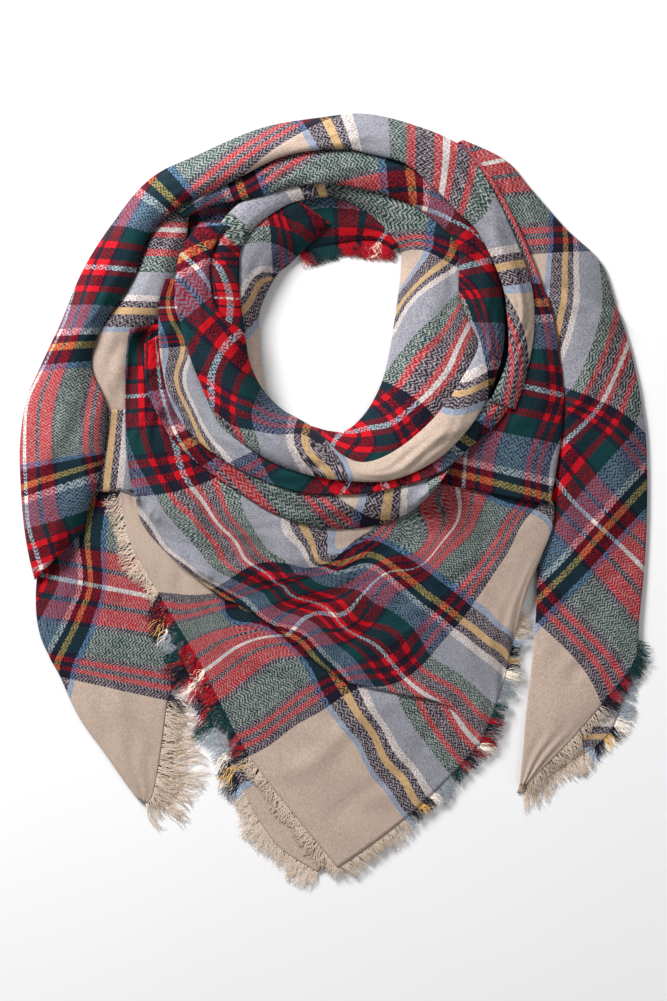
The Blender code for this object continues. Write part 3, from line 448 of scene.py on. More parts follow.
# Where lines of the weave run: u or v, its value, then the board points it passes.
WEAVE_LINES = {
    "bib_lower": (
        ("u", -117, (226, 620), (304, 662), (320, 696), (343, 728), (375, 777),
         (402, 813)),
        ("u", -94, (336, 676), (358, 713), (383, 757), (417, 803)),
        ("u", -79, (366, 698), (393, 742), (427, 790)),
        ("u", -46, (400, 704), (423, 740), (453, 778)),
        ("u", -25.5, (424, 712), (443, 740), (465, 767)),
        ("u", 0, (467, 733), (477, 743)),
        ("v", -97.5, (250, 755), (292, 726), (327, 706), (350, 691)),
        ("v", -72.5, (250, 731), (280, 711), (314, 685)),
        ("v", -36.5, (224, 702), (250, 681), (280, 660)),
        ("v", -17.5, (210, 685), (230, 669), (250, 655), (274, 646)),
        ("v", 0, (206, 670), (230, 652), (245, 642), (260, 638), (277, 635)),
        ("v", 15, (199, 656), (226, 639)),
        ("v", 32.5, (191, 641), (212, 631)),
        ("v", 50, (225, 620),),
        ("v", 72.5, (190, 617),),
        ("v", 85, (190, 606),),
        ("v", 97.5, (170, 593), (205, 594)),
    ),
    "bib_upper": (
        ("u", -97, (150, 534), (175, 562), (200, 582)),
        ("u", -94, (228, 599), (245, 612), (265, 630), (305, 643), (334, 675)),
        ("u", -79, (156, 536), (174, 556), (195, 570), (222, 585), (250, 601),
         (275, 621)),
        ("u", -46, (154, 491), (161, 507), (175, 522), (196, 544), (215, 569)),
        ("u", -25.5, (174, 496), (181, 509), (195, 517), (205, 531), (222, 556),
         (232, 569), (352, 645), (373, 665), (380, 676), (395, 693)),
        ("u", 0, (185, 477), (200, 497), (212, 514), (235, 537), (245, 555),
         (267, 572), (290, 595), (383, 653), (400, 672), (427, 697), (457, 720),
         (477, 743)),
        ("u", 25.5, (217, 489), (229, 514), (239, 530), (252, 547), (326, 596),
         (350, 617), (364, 625), (412, 661), (440, 680), (465, 698), (485, 718)),
        ("u", 46, (242, 506), (250, 524), (267, 550), (435, 662), (463, 678),
         (488, 700)),
        ("u", 79, (285, 523), (297, 540), (313, 563), (397, 585), (423, 608),
         (452, 632), (477, 650), (492, 661)),
        ("u", 94, (303, 530), (312, 545), (332, 566), (393, 568), (417, 588),
         (445, 608), (465, 623), (495, 645)),
        ("u", 117, (333, 537), (422, 562), (443, 579), (457, 590), (480, 610),
         (508, 630)),
        ("v", 97.5, (235, 574), (262, 561), (297, 565), (330, 562), (350, 543),
         (373, 528)),
        ("v", 85, (267, 574), (350, 553), (363, 545), (377, 533)),
        ("v", 72.5, (360, 558), (373, 548), (387, 535)),
        ("v", 50, (255, 600), (289, 591), (400, 547), (417, 532)),
        ("v", 25, (283, 606), (326, 596), (423, 553), (435, 522)),
        ("v", 0, (297, 627), (318, 611), (338, 618), (358, 598), (367, 590),
         (382, 575), (448, 537), (460, 513)),
        ("v", -25, (364, 626), (440, 557), (460, 538), (475, 510)),
        ("v", -50, (337, 655), (405, 612), (452, 567), (472, 547), (485, 522)),
        ("v", -72.5, (373, 665), (403, 652), (435, 617), (463, 587), (477, 567),
         (497, 540), (513, 513)),
        ("v", -85, (380, 676), (412, 661), (445, 622), (472, 588), (487, 567),
         (502, 545)),
        ("v", -97.5, (397, 683), (422, 665), (440, 645), (462, 620), (475, 600),
         (488, 583), (508, 550), (521, 523)),
        ("u", -45, (129, 380), (128, 430)),
        ("u", -25.5, (141, 345), (141, 375), (143, 410), (147, 445), (158, 472)),
    ),
    "roll_main": (
        ("u", -266, (411, 178), (411, 190), (414, 203)),
        ("u", -438.8, (466, 379), (476, 374), (487, 368)),
        ("u", -454, (460, 397), (467, 392), (474, 388), (482, 384), (488, 382)),
        ("u", -476.5, (452, 414), (463, 410), (475, 407)),
        ("u", -600, (343, 454), (348.6, 463), (352, 474)),
        ("u", -607, (334, 453), (341, 463), (346, 473)),
        ("u", -626, (305, 434), (306, 447), (311, 456), (317, 463), (326, 471),
         (333, 477)),
        ("u", -641, (291, 428), (290, 443), (294, 452), (300, 461), (309, 469)),
        ("u", -674, (253, 409), (252, 420), (253, 433), (260, 445)),
        ("u", -694.5, (247, 368), (240, 380), (235, 392), (233, 405), (234, 420),
         (238, 432), (243, 443)),
        ("u", -720, (226, 348), (219, 359), (214, 374), (211, 389), (216, 400)),
        ("u", -745.5, (208, 325), (198, 338), (195, 349)),
        ("u", -766, (181, 323), (190, 318), (198, 311), (207, 303)),
        ("u", -814, (180, 262), (193, 255), (208, 248)),
        ("v", 0, (190, 263), (203, 276)),
        ("v", -15, (184, 281), (193, 291), (201, 301), (212, 314)),
        ("v", -25, (183, 300), (193, 311), (208, 325), (220, 340), (233, 354),
         (247, 368)),
        ("v", -72.5, (209, 380), (218, 391), (234, 398), (260, 409), (278, 417)),
        ("v", -85, (209, 393), (217, 402), (233, 409), (258, 419), (275, 427)),
        ("v", -97.5, (214, 410), (226, 423), (237, 428), (247, 428), (258, 433),
         (272, 434), (290, 435), (306, 435), (316, 440), (327, 444)),
    ),
    "inner_fold_left": (
        ("u", 29, (249, 233), (258, 226), (266, 223), (283, 231), (298, 232)),
        ("u", 46, (245, 245), (256, 243), (268, 243), (280, 246), (290, 251)),
        ("u", 78.8, (264, 268), (255, 275), (249, 283), (243, 291)),
        ("u", 94, (272, 279), (261, 282), (254, 294), (249, 303), (244, 311)),
        ("u", 113, (258, 319), (252, 326), (246, 332)),
        ("u", 120, (258, 326), (250, 337), (246, 343)),
    ),
    "inner_fold_right": (
        ("u", -281, (457, 269), (442, 279), (428, 287), (415, 297), (405, 310)),
        ("u", -314, (455, 300), (443, 312), (428, 323), (413, 337), (402, 350),
         (390, 367)),
        ("u", -334.5, (460, 301), (453, 313), (445, 332), (430, 350), (413, 365),
         (405, 378)),
        ("u", -360, (467, 328), (460, 342), (453, 360), (443, 377), (430, 392),
         (417, 405), (407, 411), (397, 421), (386, 427), (371, 427)),
        ("v", 64.5, (392, 232), (410, 231), (427, 231), (440, 235)),
        ("v", 72.5, (400, 240), (413, 238), (427, 240), (437, 244)),
        ("v", 97.5, (405, 252), (418, 250), (432, 255), (445, 263)),
        ("v", 317, (366, 432), (364, 448)),
        ("v", 269.5, (400, 437), (385, 414)),
        ("v", 257, (411, 431), (396, 409)),
    ),
    "cowl_middle": (
        ("u", -113, (169, 345), (169, 362), (167, 380)),
        ("u", -94, (186, 349), (181, 362), (178, 375), (178, 385), (182, 395),
         (188, 406), (193, 418), (197, 431), (204, 445)),
        ("u", -79, (189, 363), (187, 380), (189, 395), (197, 412), (207, 429),
         (217, 442), (226, 456)),
        ("u", -46, (200, 379), (206, 396), (214, 416), (224, 433), (262, 461),
         (271, 480)),
    ),
    "cowl_lower": (
        ("u", -331, (150, 369), (162, 368)),
        ("u", -314, (155, 391), (166, 390)),
        ("u", -285, (166, 429), (181, 424)),
        ("u", -266, (184, 446), (195, 440)),
    ),
}
LINE_REACH = 30.0        # how far a line draws the cloth beside it
LINE_SOFTNESS = 0.10     # how freely the cloth may miss a line
RUN_SHARE = 0.5          # weight of the way along a stretch in that distance
NEAREST = 10             # mesh points that give the cloth's place at a point

# Columns: name, cloth, side, first and last share of that side, lock length at
# both ends, lean, curl, spacing, the cloth direction whose yarns stand out.
FRINGES = (
    ("fringe_tail_left_under", "tail_left_under", "second", 0.1, 1.0, 20, 36, 0.1,
     1.0, 1.0, "across"),
    ("fringe_tail_left", "tail_left", "second", 0.62, 1.0, 18, 28, 0.2, 1.4, 1.0,
     "across"),
    ("fringe_tail_right_under", "tail_right_under", "second", 0.0, 1.0, 12, 19, 0.2,
     1.0, 0.9, "along"),
    ("fringe_tail_right", "tail_right", "second", 0.77, 1.0, 13, 15, 0.2, 1.0, 1.0,
     "across"),
    ("fringe_neck", "neck_edge", "second", 0.1, 1.0, 17, 15, 0.3, 3.6, 0.5, "across"),
    ("fringe_bib_under", "bib_under", "first", 0.0, 1.0, 20, 19, 0.3, 1.3, 1.0, "along"),
    ("fringe_bib_left", "bib_lower", "first", 0.0, 1.0, 16, 15, 0.3, 1.8, 1.0, "across"),
    ("fringe_bib_right", "bib_lower", "end", 0.0, 1.0, 15, 14, 0.0, 1.0, 0.8, "along"),
    ("fringe_bib_side", "bib_upper", "end", 0.0, 1.0, 15, 13, 0.0, 1.2, 1.0, "along"),
)
STRAND_POINTS = 8
STRAND_SEED = 41
SEED_STEP = 7                   # for each letter of a fringe's name
LEAST_STRANDS = 8
STRAND_TAPER = (1.15, 0.45)     # thickness at the root and at the tip
ROOT_DEPTH = 1.2                # how far inside the edge a strand starts
CLUMP = 7                       # strands that lean together into one lock
CLUMP_PULL = 0.55               # how far their tips close up
LENGTH_WAVE = (0.22, 9.0)       # slow change of length along an edge: share, length
LENGTH_SPREAD = 0.16
LENGTH_LIMITS = (0.35, 1.45)
LEAN_WAVE = (0.30, 13.0)
LEAN_SPREAD = 0.30
BEND_SPREAD = 0.12
CURL_TURNS = (0.7, 1.6)
CURL_GROWTH = 2.5               # how fast the curl sets in along a strand
EDGE_SPAN = 4                   # either way, to find which way an edge runs
ROOT_DROP = 0.7                 # from the cloth's top to the middle of its ply
TIP_SCATTER = 0.8
TIP_DROP = 2.2                  # how far a raised strand's tip hangs below its root
STRAND_LIFT = 0.6               # of a strand over what it lies on
STRAND_FLOOR = 0.7              # lowest height of a strand's middle line
RAISED = 3.0                    # height from which a strand hangs

# Tints and shares of the weave.
WHITE = (1.0, 1.0, 1.0, 1.0)
NAP_COLOUR = (0.55, 0.52, 0.51, 1.0)
SHEEN_TINT = (1.0, 0.97, 0.95, 1.0)
UNLIKE_TINT = (0.86, 0.93, 1.05, 1.0)   # where a bold yarn crosses a shy one
CLOSED_TINT = (0.90, 0.97, 1.16, 1.0)   # where two bold yarns cross
CLOSED_SHADE = 0.36
AIRY_TINT = (1.0, 1.01, 0.97, 1.0)      # loose yarn ends
TWILL_BLUR = 0.12
BORROWED_HUE = 0.4                      # hue that a yarn takes from its neighbour
HUE_LIMIT = (1.5, 1.5, 1.5)

ROOM_STRENGTH = 0.16
FLOOR_SIZE = 6.0
FLOOR_DROP = -0.0006
SENSOR = 36.0
# Columns: name, share of the main light's power, size, place.
LIGHTS = (
    ("key_light", 1.06, 1.0, (-1.5, 1.7, 1.45)),
    ("fill_light", 0.18, 2.2, (1.9, -0.8, 1.9)),
)

LAID = {}                # settled edges of each stretch, by name
BOARD = {}               # the height map as the scarf is laid


def linear(red, green, blue):
    """Linear colour of a screen colour given in 0 to 255."""
    def one(value):
        value /= 255.0
        return value / 12.92 if value <= 0.04045 else ((value + 0.055) / 1.055) ** 2.4
    return (one(red), one(green), one(blue))


def yarn(name, red, green, blue):
    """A setting for the colour of one yarn, given in 0 to 255."""
    return colour_of(
        name, f"Colour of the {name.lower()} yarn", linear(red, green, blue))


def distance(name, tip, default, low, high):
    """A setting for one distance in metres."""
    return FloatProperty(
        name=name, description=tip, default=default, min=low, max=high, unit="LENGTH",
    )


def colour_of(name, tip, default):
    """A setting for one colour."""
    return FloatVectorProperty(
        name=name, description=tip, subtype="COLOR", size=3, min=0.0, max=1.0,
        default=default,
    )


class ScarfYarns(bpy.types.PropertyGroup):
    """Colours of the yarns."""

    beige: yarn("Beige", 189, 171, 158)
    grey_blue: yarn("Grey blue", 141, 148, 159)
    light_blue: yarn("Light blue", 142, 162, 184)
    yellow: yarn("Yellow", 216, 171, 98)
    cream: yarn("Cream", 228, 215, 205)
    navy: yarn("Navy", 27, 25, 40)
    green: yarn("Green", 15, 58, 60)
    red: yarn("Red", 174, 15, 33)
    white: yarn("White", 228, 218, 208)


class ScarfCloth(bpy.types.PropertyGroup):
    """Sizes of the cloth, the weave and the fringe."""

    wall: distance(
        "Cloth thickness", "Thickness of one ply of brushed cloth", 0.0014, 0.0006, 0.003)
    cell_along: distance(
        "Cell along", "Mesh spacing along a stretch", 0.0036, 0.002, 0.02)
    cell_across: distance(
        "Cell across", "Mesh spacing across a stretch", 0.0026, 0.001, 0.02)
    yarn_pitch: distance(
        "Yarn pitch", "Spacing of single yarns in the weave", 0.00105, 0.0005, 0.01)
    twill: distance("Twill line", "Spacing of the twill lines", 0.0042, 0.001, 0.02)
    zigzag: distance("Zigzag", "Width of one leg of the herringbone", 0.0042, 0.001, 0.03)
    strand_pitch: distance(
        "Strand pitch", "Spacing of the fringe strands", 0.0006, 0.0003, 0.01)
    strand_radius: distance(
        "Strand radius", "Half thickness of a fringe strand", 0.00038, 0.0001, 0.002)


class ScarfStudio(bpy.types.PropertyGroup):
    """Floor, light and camera."""

    camera_height: distance("Camera height", "Camera above the floor", 4.5, 1.0, 20.0)
    view_height: distance(
        "View height", "Length of floor that the image shows", 1.001, 0.2, 4.0)
    light_power: FloatProperty(
        name="Light power", description="Power of the main soft light",
        default=106.0, min=0.0, max=2000.0, unit="POWER",
    )
    light_colour: colour_of("Light colour", "Colour of the room light", (1.0, 1.0, 1.0))
    floor_colour: colour_of("Floor colour", "Colour of the floor", (0.97, 0.965, 0.975))


# --- the form of a stretch ------------------------------------------------------


def table_of(rows):
    """A table with every row filled to the same columns."""
    wide = max(len(row) for row in rows)
    return np.array([tuple(row) + (0.0,) * (wide - len(row)) for row in rows], float)


def catmull_rom(rows, position, closed=False):
    """Smooth values of all columns of a table at positions given in rows."""
    count = len(rows)
    low = np.floor(position).astype(int)
    if not closed:
        low = np.clip(low, 0, count - 2)
    part = (position - low)[:, None]

    def at(index):
        if closed:
            return rows[index % count]
        return rows[np.clip(index, 0, count - 1)]

    before, here, after, beyond = at(low - 1), at(low), at(low + 1), at(low + 2)
    slope_here = (after - before) * 0.5
    slope_after = (beyond - here) * 0.5
    square, cube = part ** 2, part ** 3
    return (here * (2 * cube - 3 * square + 1) + slope_here * (cube - 2 * square + part)
            + after * (3 * square - 2 * cube) + slope_after * (cube - square))


def row_positions(rows, share, closed=False):
    """Row positions at even shares of the length of a stretch's middle line."""
    count = len(rows) if closed else len(rows) - 1
    dense = np.linspace(0.0, count, ROW_STEPS * count + 1)
    line = catmull_rom(rows, dense, closed)
    middle = (line[:, 0:2] + line[:, 2:4]) * 0.5
    steps = np.hypot(*np.diff(middle, axis=0).T)
    run = np.concatenate(([0.0], np.cumsum(steps)))
    return np.interp(share * run[-1], run, dense), run[-1]


def relief(name, x, y, along, across, length, ribs, depth):
    """Lengthwise ribs and the main creases of a stretch."""
    def sway(share, spacing, phase):
        return share * np.sin(TURN * along * length / spacing + phase * len(name))

    wander = sum(sway(*row) for row in RIB_WANDER)
    rib = np.cos(TURN * (ribs * (across + wander) + RIB_SHIFT))
    uneven = RIB_UNEVEN[0] + sway(*RIB_UNEVEN[1:])
    height = depth * rib * np.sin(math.pi * across) * uneven
    for x0, y0, x1, y1, width, rise in CREASES.get(name, ()):
        run = np.hypot(x1 - x0, y1 - y0)
        ahead = ((x - x0) * (x1 - x0) + (y - y0) * (y1 - y0)) / run
        aside = ((x - x0) * (y1 - y0) - (y - y0) * (x1 - x0)) / run
        aside = aside + CREASE_SWAY[0] * run * np.sin(
            TURN * ahead / run * CREASE_SWAY[1] + rise)
        beyond = np.maximum(0.0, np.abs(ahead - run / 2.0) - run / 2.0)
        fade = np.exp(-(beyond / (CREASE_FADE * run)) ** 2)
        height = height + CREASE_DEPTH * rise * fade * np.exp(-(aside / width) ** 2)
    return height


def surface(name, rows, along, across, ribs=0, depth=0.0, wave=0.0, closed=False):
    """Board points, cloth places and length of a stretch at shares of it."""
    position, length = row_positions(rows, along, closed)
    values = catmull_rom(rows, position, closed).T
    x0, y0, x1, y1, bow, z0, z1, crown = values[:8]
    width = np.hypot(x1 - x0, y1 - y0)
    arch = np.sin(math.pi * across)
    side = bow * arch / width
    x = x0 + (x1 - x0) * across - (y1 - y0) * side
    y = y0 + (y1 - y0) * across + (x1 - x0) * side
    z = z0 + (z1 - z0) * across + crown * (arch if closed else arch ** FOLD_ROUNDNESS)
    ripple = np.sin((x + WAVE_SLOPES[0] * y) / WAVE_LENGTH * 2 * math.pi)
    ripple = ripple * np.sin((WAVE_SLOPES[1] * y - x) / WAVE_LENGTH * 2 * math.pi)
    z = z + wave * arch * (1.0 + ripple)
    place = np.zeros((len(x), 2))
    if len(values) > 8:
        u0, u1, v0, v1 = values[8:12]
        slip = values[12] if len(values) > 12 else 0.0
        place[:, 0] = u0 + (u1 - u0) * across + slip * arch
        place[:, 1] = v0 + (v1 - v0) * across
        z = z + relief(name, x, y, along, across, length, ribs, depth)
    return np.column_stack((x, y, z)), place


def guided(name, points, place, run):
    """Cloth places drawn towards the weave lines of a stretch."""
    board = points[:, :2]
    spot = np.column_stack((board, RUN_SHARE * run))
    drawn = place.copy()
    for axis, letter in enumerate("uv"):
        lines = [line for line in WEAVE_LINES.get(name, ()) if line[0] == letter]
        pins = np.array([point for line in lines for point in line[2:]], float)
        if not len(pins):
            continue
        wanted = np.array([line[1] for line in lines for _ in line[2:]])
        found, held = [], []
        for pin in pins:
            near = np.argsort(np.sum((board - pin) ** 2, axis=1))[:NEAREST]
            plane = np.column_stack((board[near] - pin, np.ones(len(near))))
            found.append(np.linalg.lstsq(plane, place[near, axis], rcond=None)[0][2])
            held.append(spot[near[0]])
        held = np.array(held)

        def pull(one, other):
            apart = np.sum((one[:, None] - other[None]) ** 2, axis=2)
            return np.exp(-apart / LINE_REACH ** 2)

        weight = np.linalg.solve(
            pull(held, held) + LINE_SOFTNESS * np.eye(len(held)),
            wanted - np.array(found),
        )
        drawn[:, axis] += pull(spot, held) @ weight
    return drawn


def sheet_grid(along, across):
    """Triangulated unit grid and the shares of its vertices."""
    mesh = bmesh.new()
    bmesh.ops.create_grid(mesh, x_segments=along, y_segments=across, size=0.5)
    bmesh.ops.triangulate(mesh, faces=mesh.faces[:])
    share = np.array([vert.co.xy for vert in mesh.verts])
    share = (share - share.min(axis=0)) / np.ptp(share, axis=0)
    return mesh, share


def face_outwards(mesh):
    """Give a closed piece faces that all point outwards."""
    bmesh.ops.recalc_face_normals(mesh, faces=mesh.faces[:])
    if mesh.calc_volume(signed=True) < 0.0:
        bmesh.ops.reverse_faces(mesh, faces=mesh.faces[:])


def triangles_of(mesh):
    """Vertex index triples of an open triangulated grid."""
    mesh.verts.index_update()
    return np.array([[vert.index for vert in face.verts] for face in mesh.faces])


# --- laying one stretch on another ---------------------------------------------


def cells_under(points, triangles):
    """Board cells under triangles, with the triangle and its corner weights."""
    cells, owners, weights = [], [], []
    for owner, triangle in enumerate(triangles):
        a, b, c = points[triangle][:, :2]
        low = np.floor(np.min((a, b, c), axis=0) - 0.5).astype(int)
        high = np.ceil(np.max((a, b, c), axis=0) + 0.5).astype(int)
        area = (b[0] - a[0]) * (c[1] - a[1]) - (c[0] - a[0]) * (b[1] - a[1])
        if abs(area) < 1e-9:
            continue
        across, down = np.meshgrid(
            np.arange(low[0], high[0] + 1), np.arange(low[1], high[1] + 1), indexing="ij"
        )
        x, y = across.ravel() + 0.5, down.ravel() + 0.5
        second = ((x - a[0]) * (c[1] - a[1]) - (c[0] - a[0]) * (y - a[1])) / area
        third = ((b[0] - a[0]) * (y - a[1]) - (x - a[0]) * (b[1] - a[1])) / area
        first = 1.0 - second - third
        inside = (first >= -1e-6) & (second >= -1e-6) & (third >= -1e-6)
        if not inside.any():
            centre = (a + b + c) / 3.0
            inside[np.argmin((x - centre[0]) ** 2 + (y - centre[1]) ** 2)] = True
        picked = np.column_stack((across.ravel(), down.ravel()))[inside]
        cells.append(picked)
        owners.append(np.full(len(picked), owner))
        weights.append(np.clip(np.column_stack((first, second, third))[inside], 0.0, 1.0))
    return np.concatenate(cells), np.concatenate(owners), np.concatenate(weights)


def widened(height_map):
    """Highest value among each cell and its eight neighbours."""
    padded = np.pad(height_map, 1, mode="edge")
    wide, tall = height_map.shape
    views = [padded[i:i + wide, j:j + tall] for i in range(3) for j in range(3)]
    return np.max(views, axis=0)


def record_top(height, corner, weight, cells):
    """Add the top of a laid piece to the height map."""
    top = np.sum(weight * height[corner], axis=1)
    np.maximum.at(BOARD["top"], (cells[:, 0], cells[:, 1]), top)


def settle(points, triangles, wall):
    """Heights of a stretch's top, lifted until its wall clears what lies below."""
    cells, owner, weight = cells_under(points, triangles)
    ground = widened(BOARD["top"])[cells[:, 0], cells[:, 1]] + CLEARANCE + wall
    corner = triangles[owner]
    share = weight / np.sum(weight ** 2, axis=1)[:, None]
    height = points[:, 2].copy()
    edges = np.unique(
        np.sort(np.vstack((triangles[:, :2], triangles[:, 1:], triangles[:, ::2]))), axis=0
    )
    lift = np.zeros_like(height)
    for turn in range(SETTLE_ROUNDS):
        short = ground - np.sum(weight * (height + lift)[corner], axis=1)
        wrong = short > 1e-3
        if not wrong.any() and turn > SPREAD_ROUNDS:
            break
        raise_by = np.zeros_like(lift)
        for k in range(3):
            np.maximum.at(raise_by, corner[wrong, k], short[wrong] * share[wrong, k])
        lift += raise_by
        if turn < SPREAD_ROUNDS:
            total, count = np.zeros_like(lift), np.zeros_like(lift)
            for one, other in ((0, 1), (1, 0)):
                np.add.at(total, edges[:, one], lift[edges[:, other]])
                np.add.at(count, edges[:, one], 1.0)
            lift = np.maximum(lift, SPREAD_KEPT * total / np.maximum(count, 1.0))
    height += lift
    spare = np.min(np.sum(weight * height[corner], axis=1) - ground)
    height -= max(0.0, spare)
    record_top(height, corner, weight, cells)
    return height


# --- materials -------------------------------------------------------------------


class Graph:
    """A material's nodes, added from left to right."""

    def __init__(self, name):
        self.material = bpy.data.materials.new(name)
        self.material.use_nodes = True
        self.tree = self.material.node_tree
        self.shader = self.tree.nodes["Principled BSDF"]

    def node(self, kind, values=(), **settings):
        """One node, with sockets set or linked by position or name."""
        made = self.tree.nodes.new("ShaderNode" + kind)
        for key, value in settings.items():
            setattr(made, key, value)
        for key, value in dict(values).items():
            if isinstance(value, bpy.types.NodeSocket):
                self.tree.links.new(value, made.inputs[key])
            else:
                made.inputs[key].default_value = value
        return made

    def math(self, operation, *values):
        """Result socket of a maths node."""
        return self.node("Math", enumerate(values), operation=operation).outputs[0]

    def ranged(self, value, low, high, bottom, top, **settings):
        """A value carried from one range into another."""
        values = enumerate((value, low, high, bottom, top))
        return self.node("MapRange", values, **settings).outputs[0]

    def noise(self, vector, scale, detail=2.0):
        """Noise value of a scale at a place."""
        made = self.node("TexNoise", {"Vector": vector, "Scale": scale, "Detail": detail})
        return made.outputs[0]

    def mix(self, factor, first, second, blend="MIX"):
        """Mixed colour."""
        made = self.node("Mix", data_type="RGBA", blend_type=blend)
        for socket, value in ((0, factor), (6, first), (7, second)):
            if isinstance(value, bpy.types.NodeSocket):
                self.tree.links.new(value, made.inputs[socket])
            else:
                made.inputs[socket].default_value = value
        return made.outputs[2]


def stripes(graph, place, repeat, bands, yarns):
    """Colour and cover of the yarns that lie at a place across their repeat."""
    folded = graph.math("ABSOLUTE", graph.math("WRAP", place, repeat / 2, -repeat / 2))
    ramp = graph.node("ValToRGB", {0: graph.math("DIVIDE", folded, repeat / 2)})
    ramp.color_ramp.interpolation = "CONSTANT"
    elements = ramp.color_ramp.elements
    while len(elements) > 1:
        elements.remove(elements[-1])
    for index, (start, colour) in enumerate(bands):
        part = elements[0] if index == 0 else elements.new(start / (repeat / 2))
        part.position = start / (repeat / 2)
        part.color = (*getattr(yarns, colour), YARN_COVER[colour])
    return ramp.outputs[0], ramp.outputs[1]


def cloth_places(graph, fuzz):
    """u and v in millimetres, with the unevenness of brushed yarn."""
    place = graph.node("UVMap", uv_map="cloth")
    split = graph.node("SeparateXYZ", {0: place.outputs[0]})
    result = []
    for axis in (0, 1):
        uneven = graph.noise(place.outputs[0], 520.0 + 60.0 * axis, 2.0)
        shift = graph.math("MULTIPLY", graph.math("SUBTRACT", uneven, 0.5), fuzz)
        millimetres = graph.math("MULTIPLY", split.outputs[axis], METRE)
        result.append(graph.math("ADD", millimetres, shift))
    return place.outputs[0], result[0], result[1]


def scaled(graph, colour, level):
    """A colour made lighter or darker by a level."""
    grey = graph.node("CombineXYZ", {0: level, 1: level, 2: level})
    return graph.mix(1.0, colour, grey.outputs[0], "MULTIPLY")


def soft_finish(graph, place, colour, weave):
    """Brushed nap over a colour: pale fibres, slow tone changes, sheen and bump."""
    fibre = graph.noise(place, 1500.0, 3.0)
    cloud = graph.noise(place, 22.0, 3.0)
    tone = graph.math("ADD", graph.math("MULTIPLY", fibre, 0.44),
                      graph.math("MULTIPLY", cloud, 0.20))
    toned = scaled(graph, colour, graph.math("ADD", tone, 0.68))
    haze = graph.ranged(fibre, 0.52, 0.80, 0.0, 0.09)
    napped = graph.mix(haze, toned, NAP_COLOUR)
    relief_height = graph.math("ADD", graph.math("MULTIPLY", weave, 0.6),
                               graph.math("MULTIPLY", fibre, 0.8))
    bump = graph.node("Bump", {"Strength": 0.6, "Distance": 0.0006,
                               "Height": relief_height})
    links, shader = graph.tree.links, graph.shader
    links.new(napped, shader.inputs["Base Color"])
    links.new(bump.outputs[0], shader.inputs["Normal"])
    for socket, value in (("Roughness", 0.95), ("Specular IOR Level", 0.08),
                          ("Sheen Weight", 0.06), ("Sheen Roughness", 0.4),
                          ("Sheen Tint", SHEEN_TINT)):
        shader.inputs[socket].default_value = value


def lit_by(graph, colour, other, cover):
    """A yarn's colour, taking some of the hue of the brushed yarn beside it."""
    level = graph.node("RGBToBW", {0: other}).outputs[0]
    bright = graph.math("DIVIDE", 1.0, graph.math("ADD", level, 0.02))
    hue = graph.node("VectorMath", {0: scaled(graph, other, bright), 1: HUE_LIMIT},
                     operation="MINIMUM").outputs[0]
    glow = graph.mix(graph.math("MULTIPLY", cover, BORROWED_HUE), WHITE, hue)
    return graph.mix(1.0, colour, glow, "MULTIPLY")


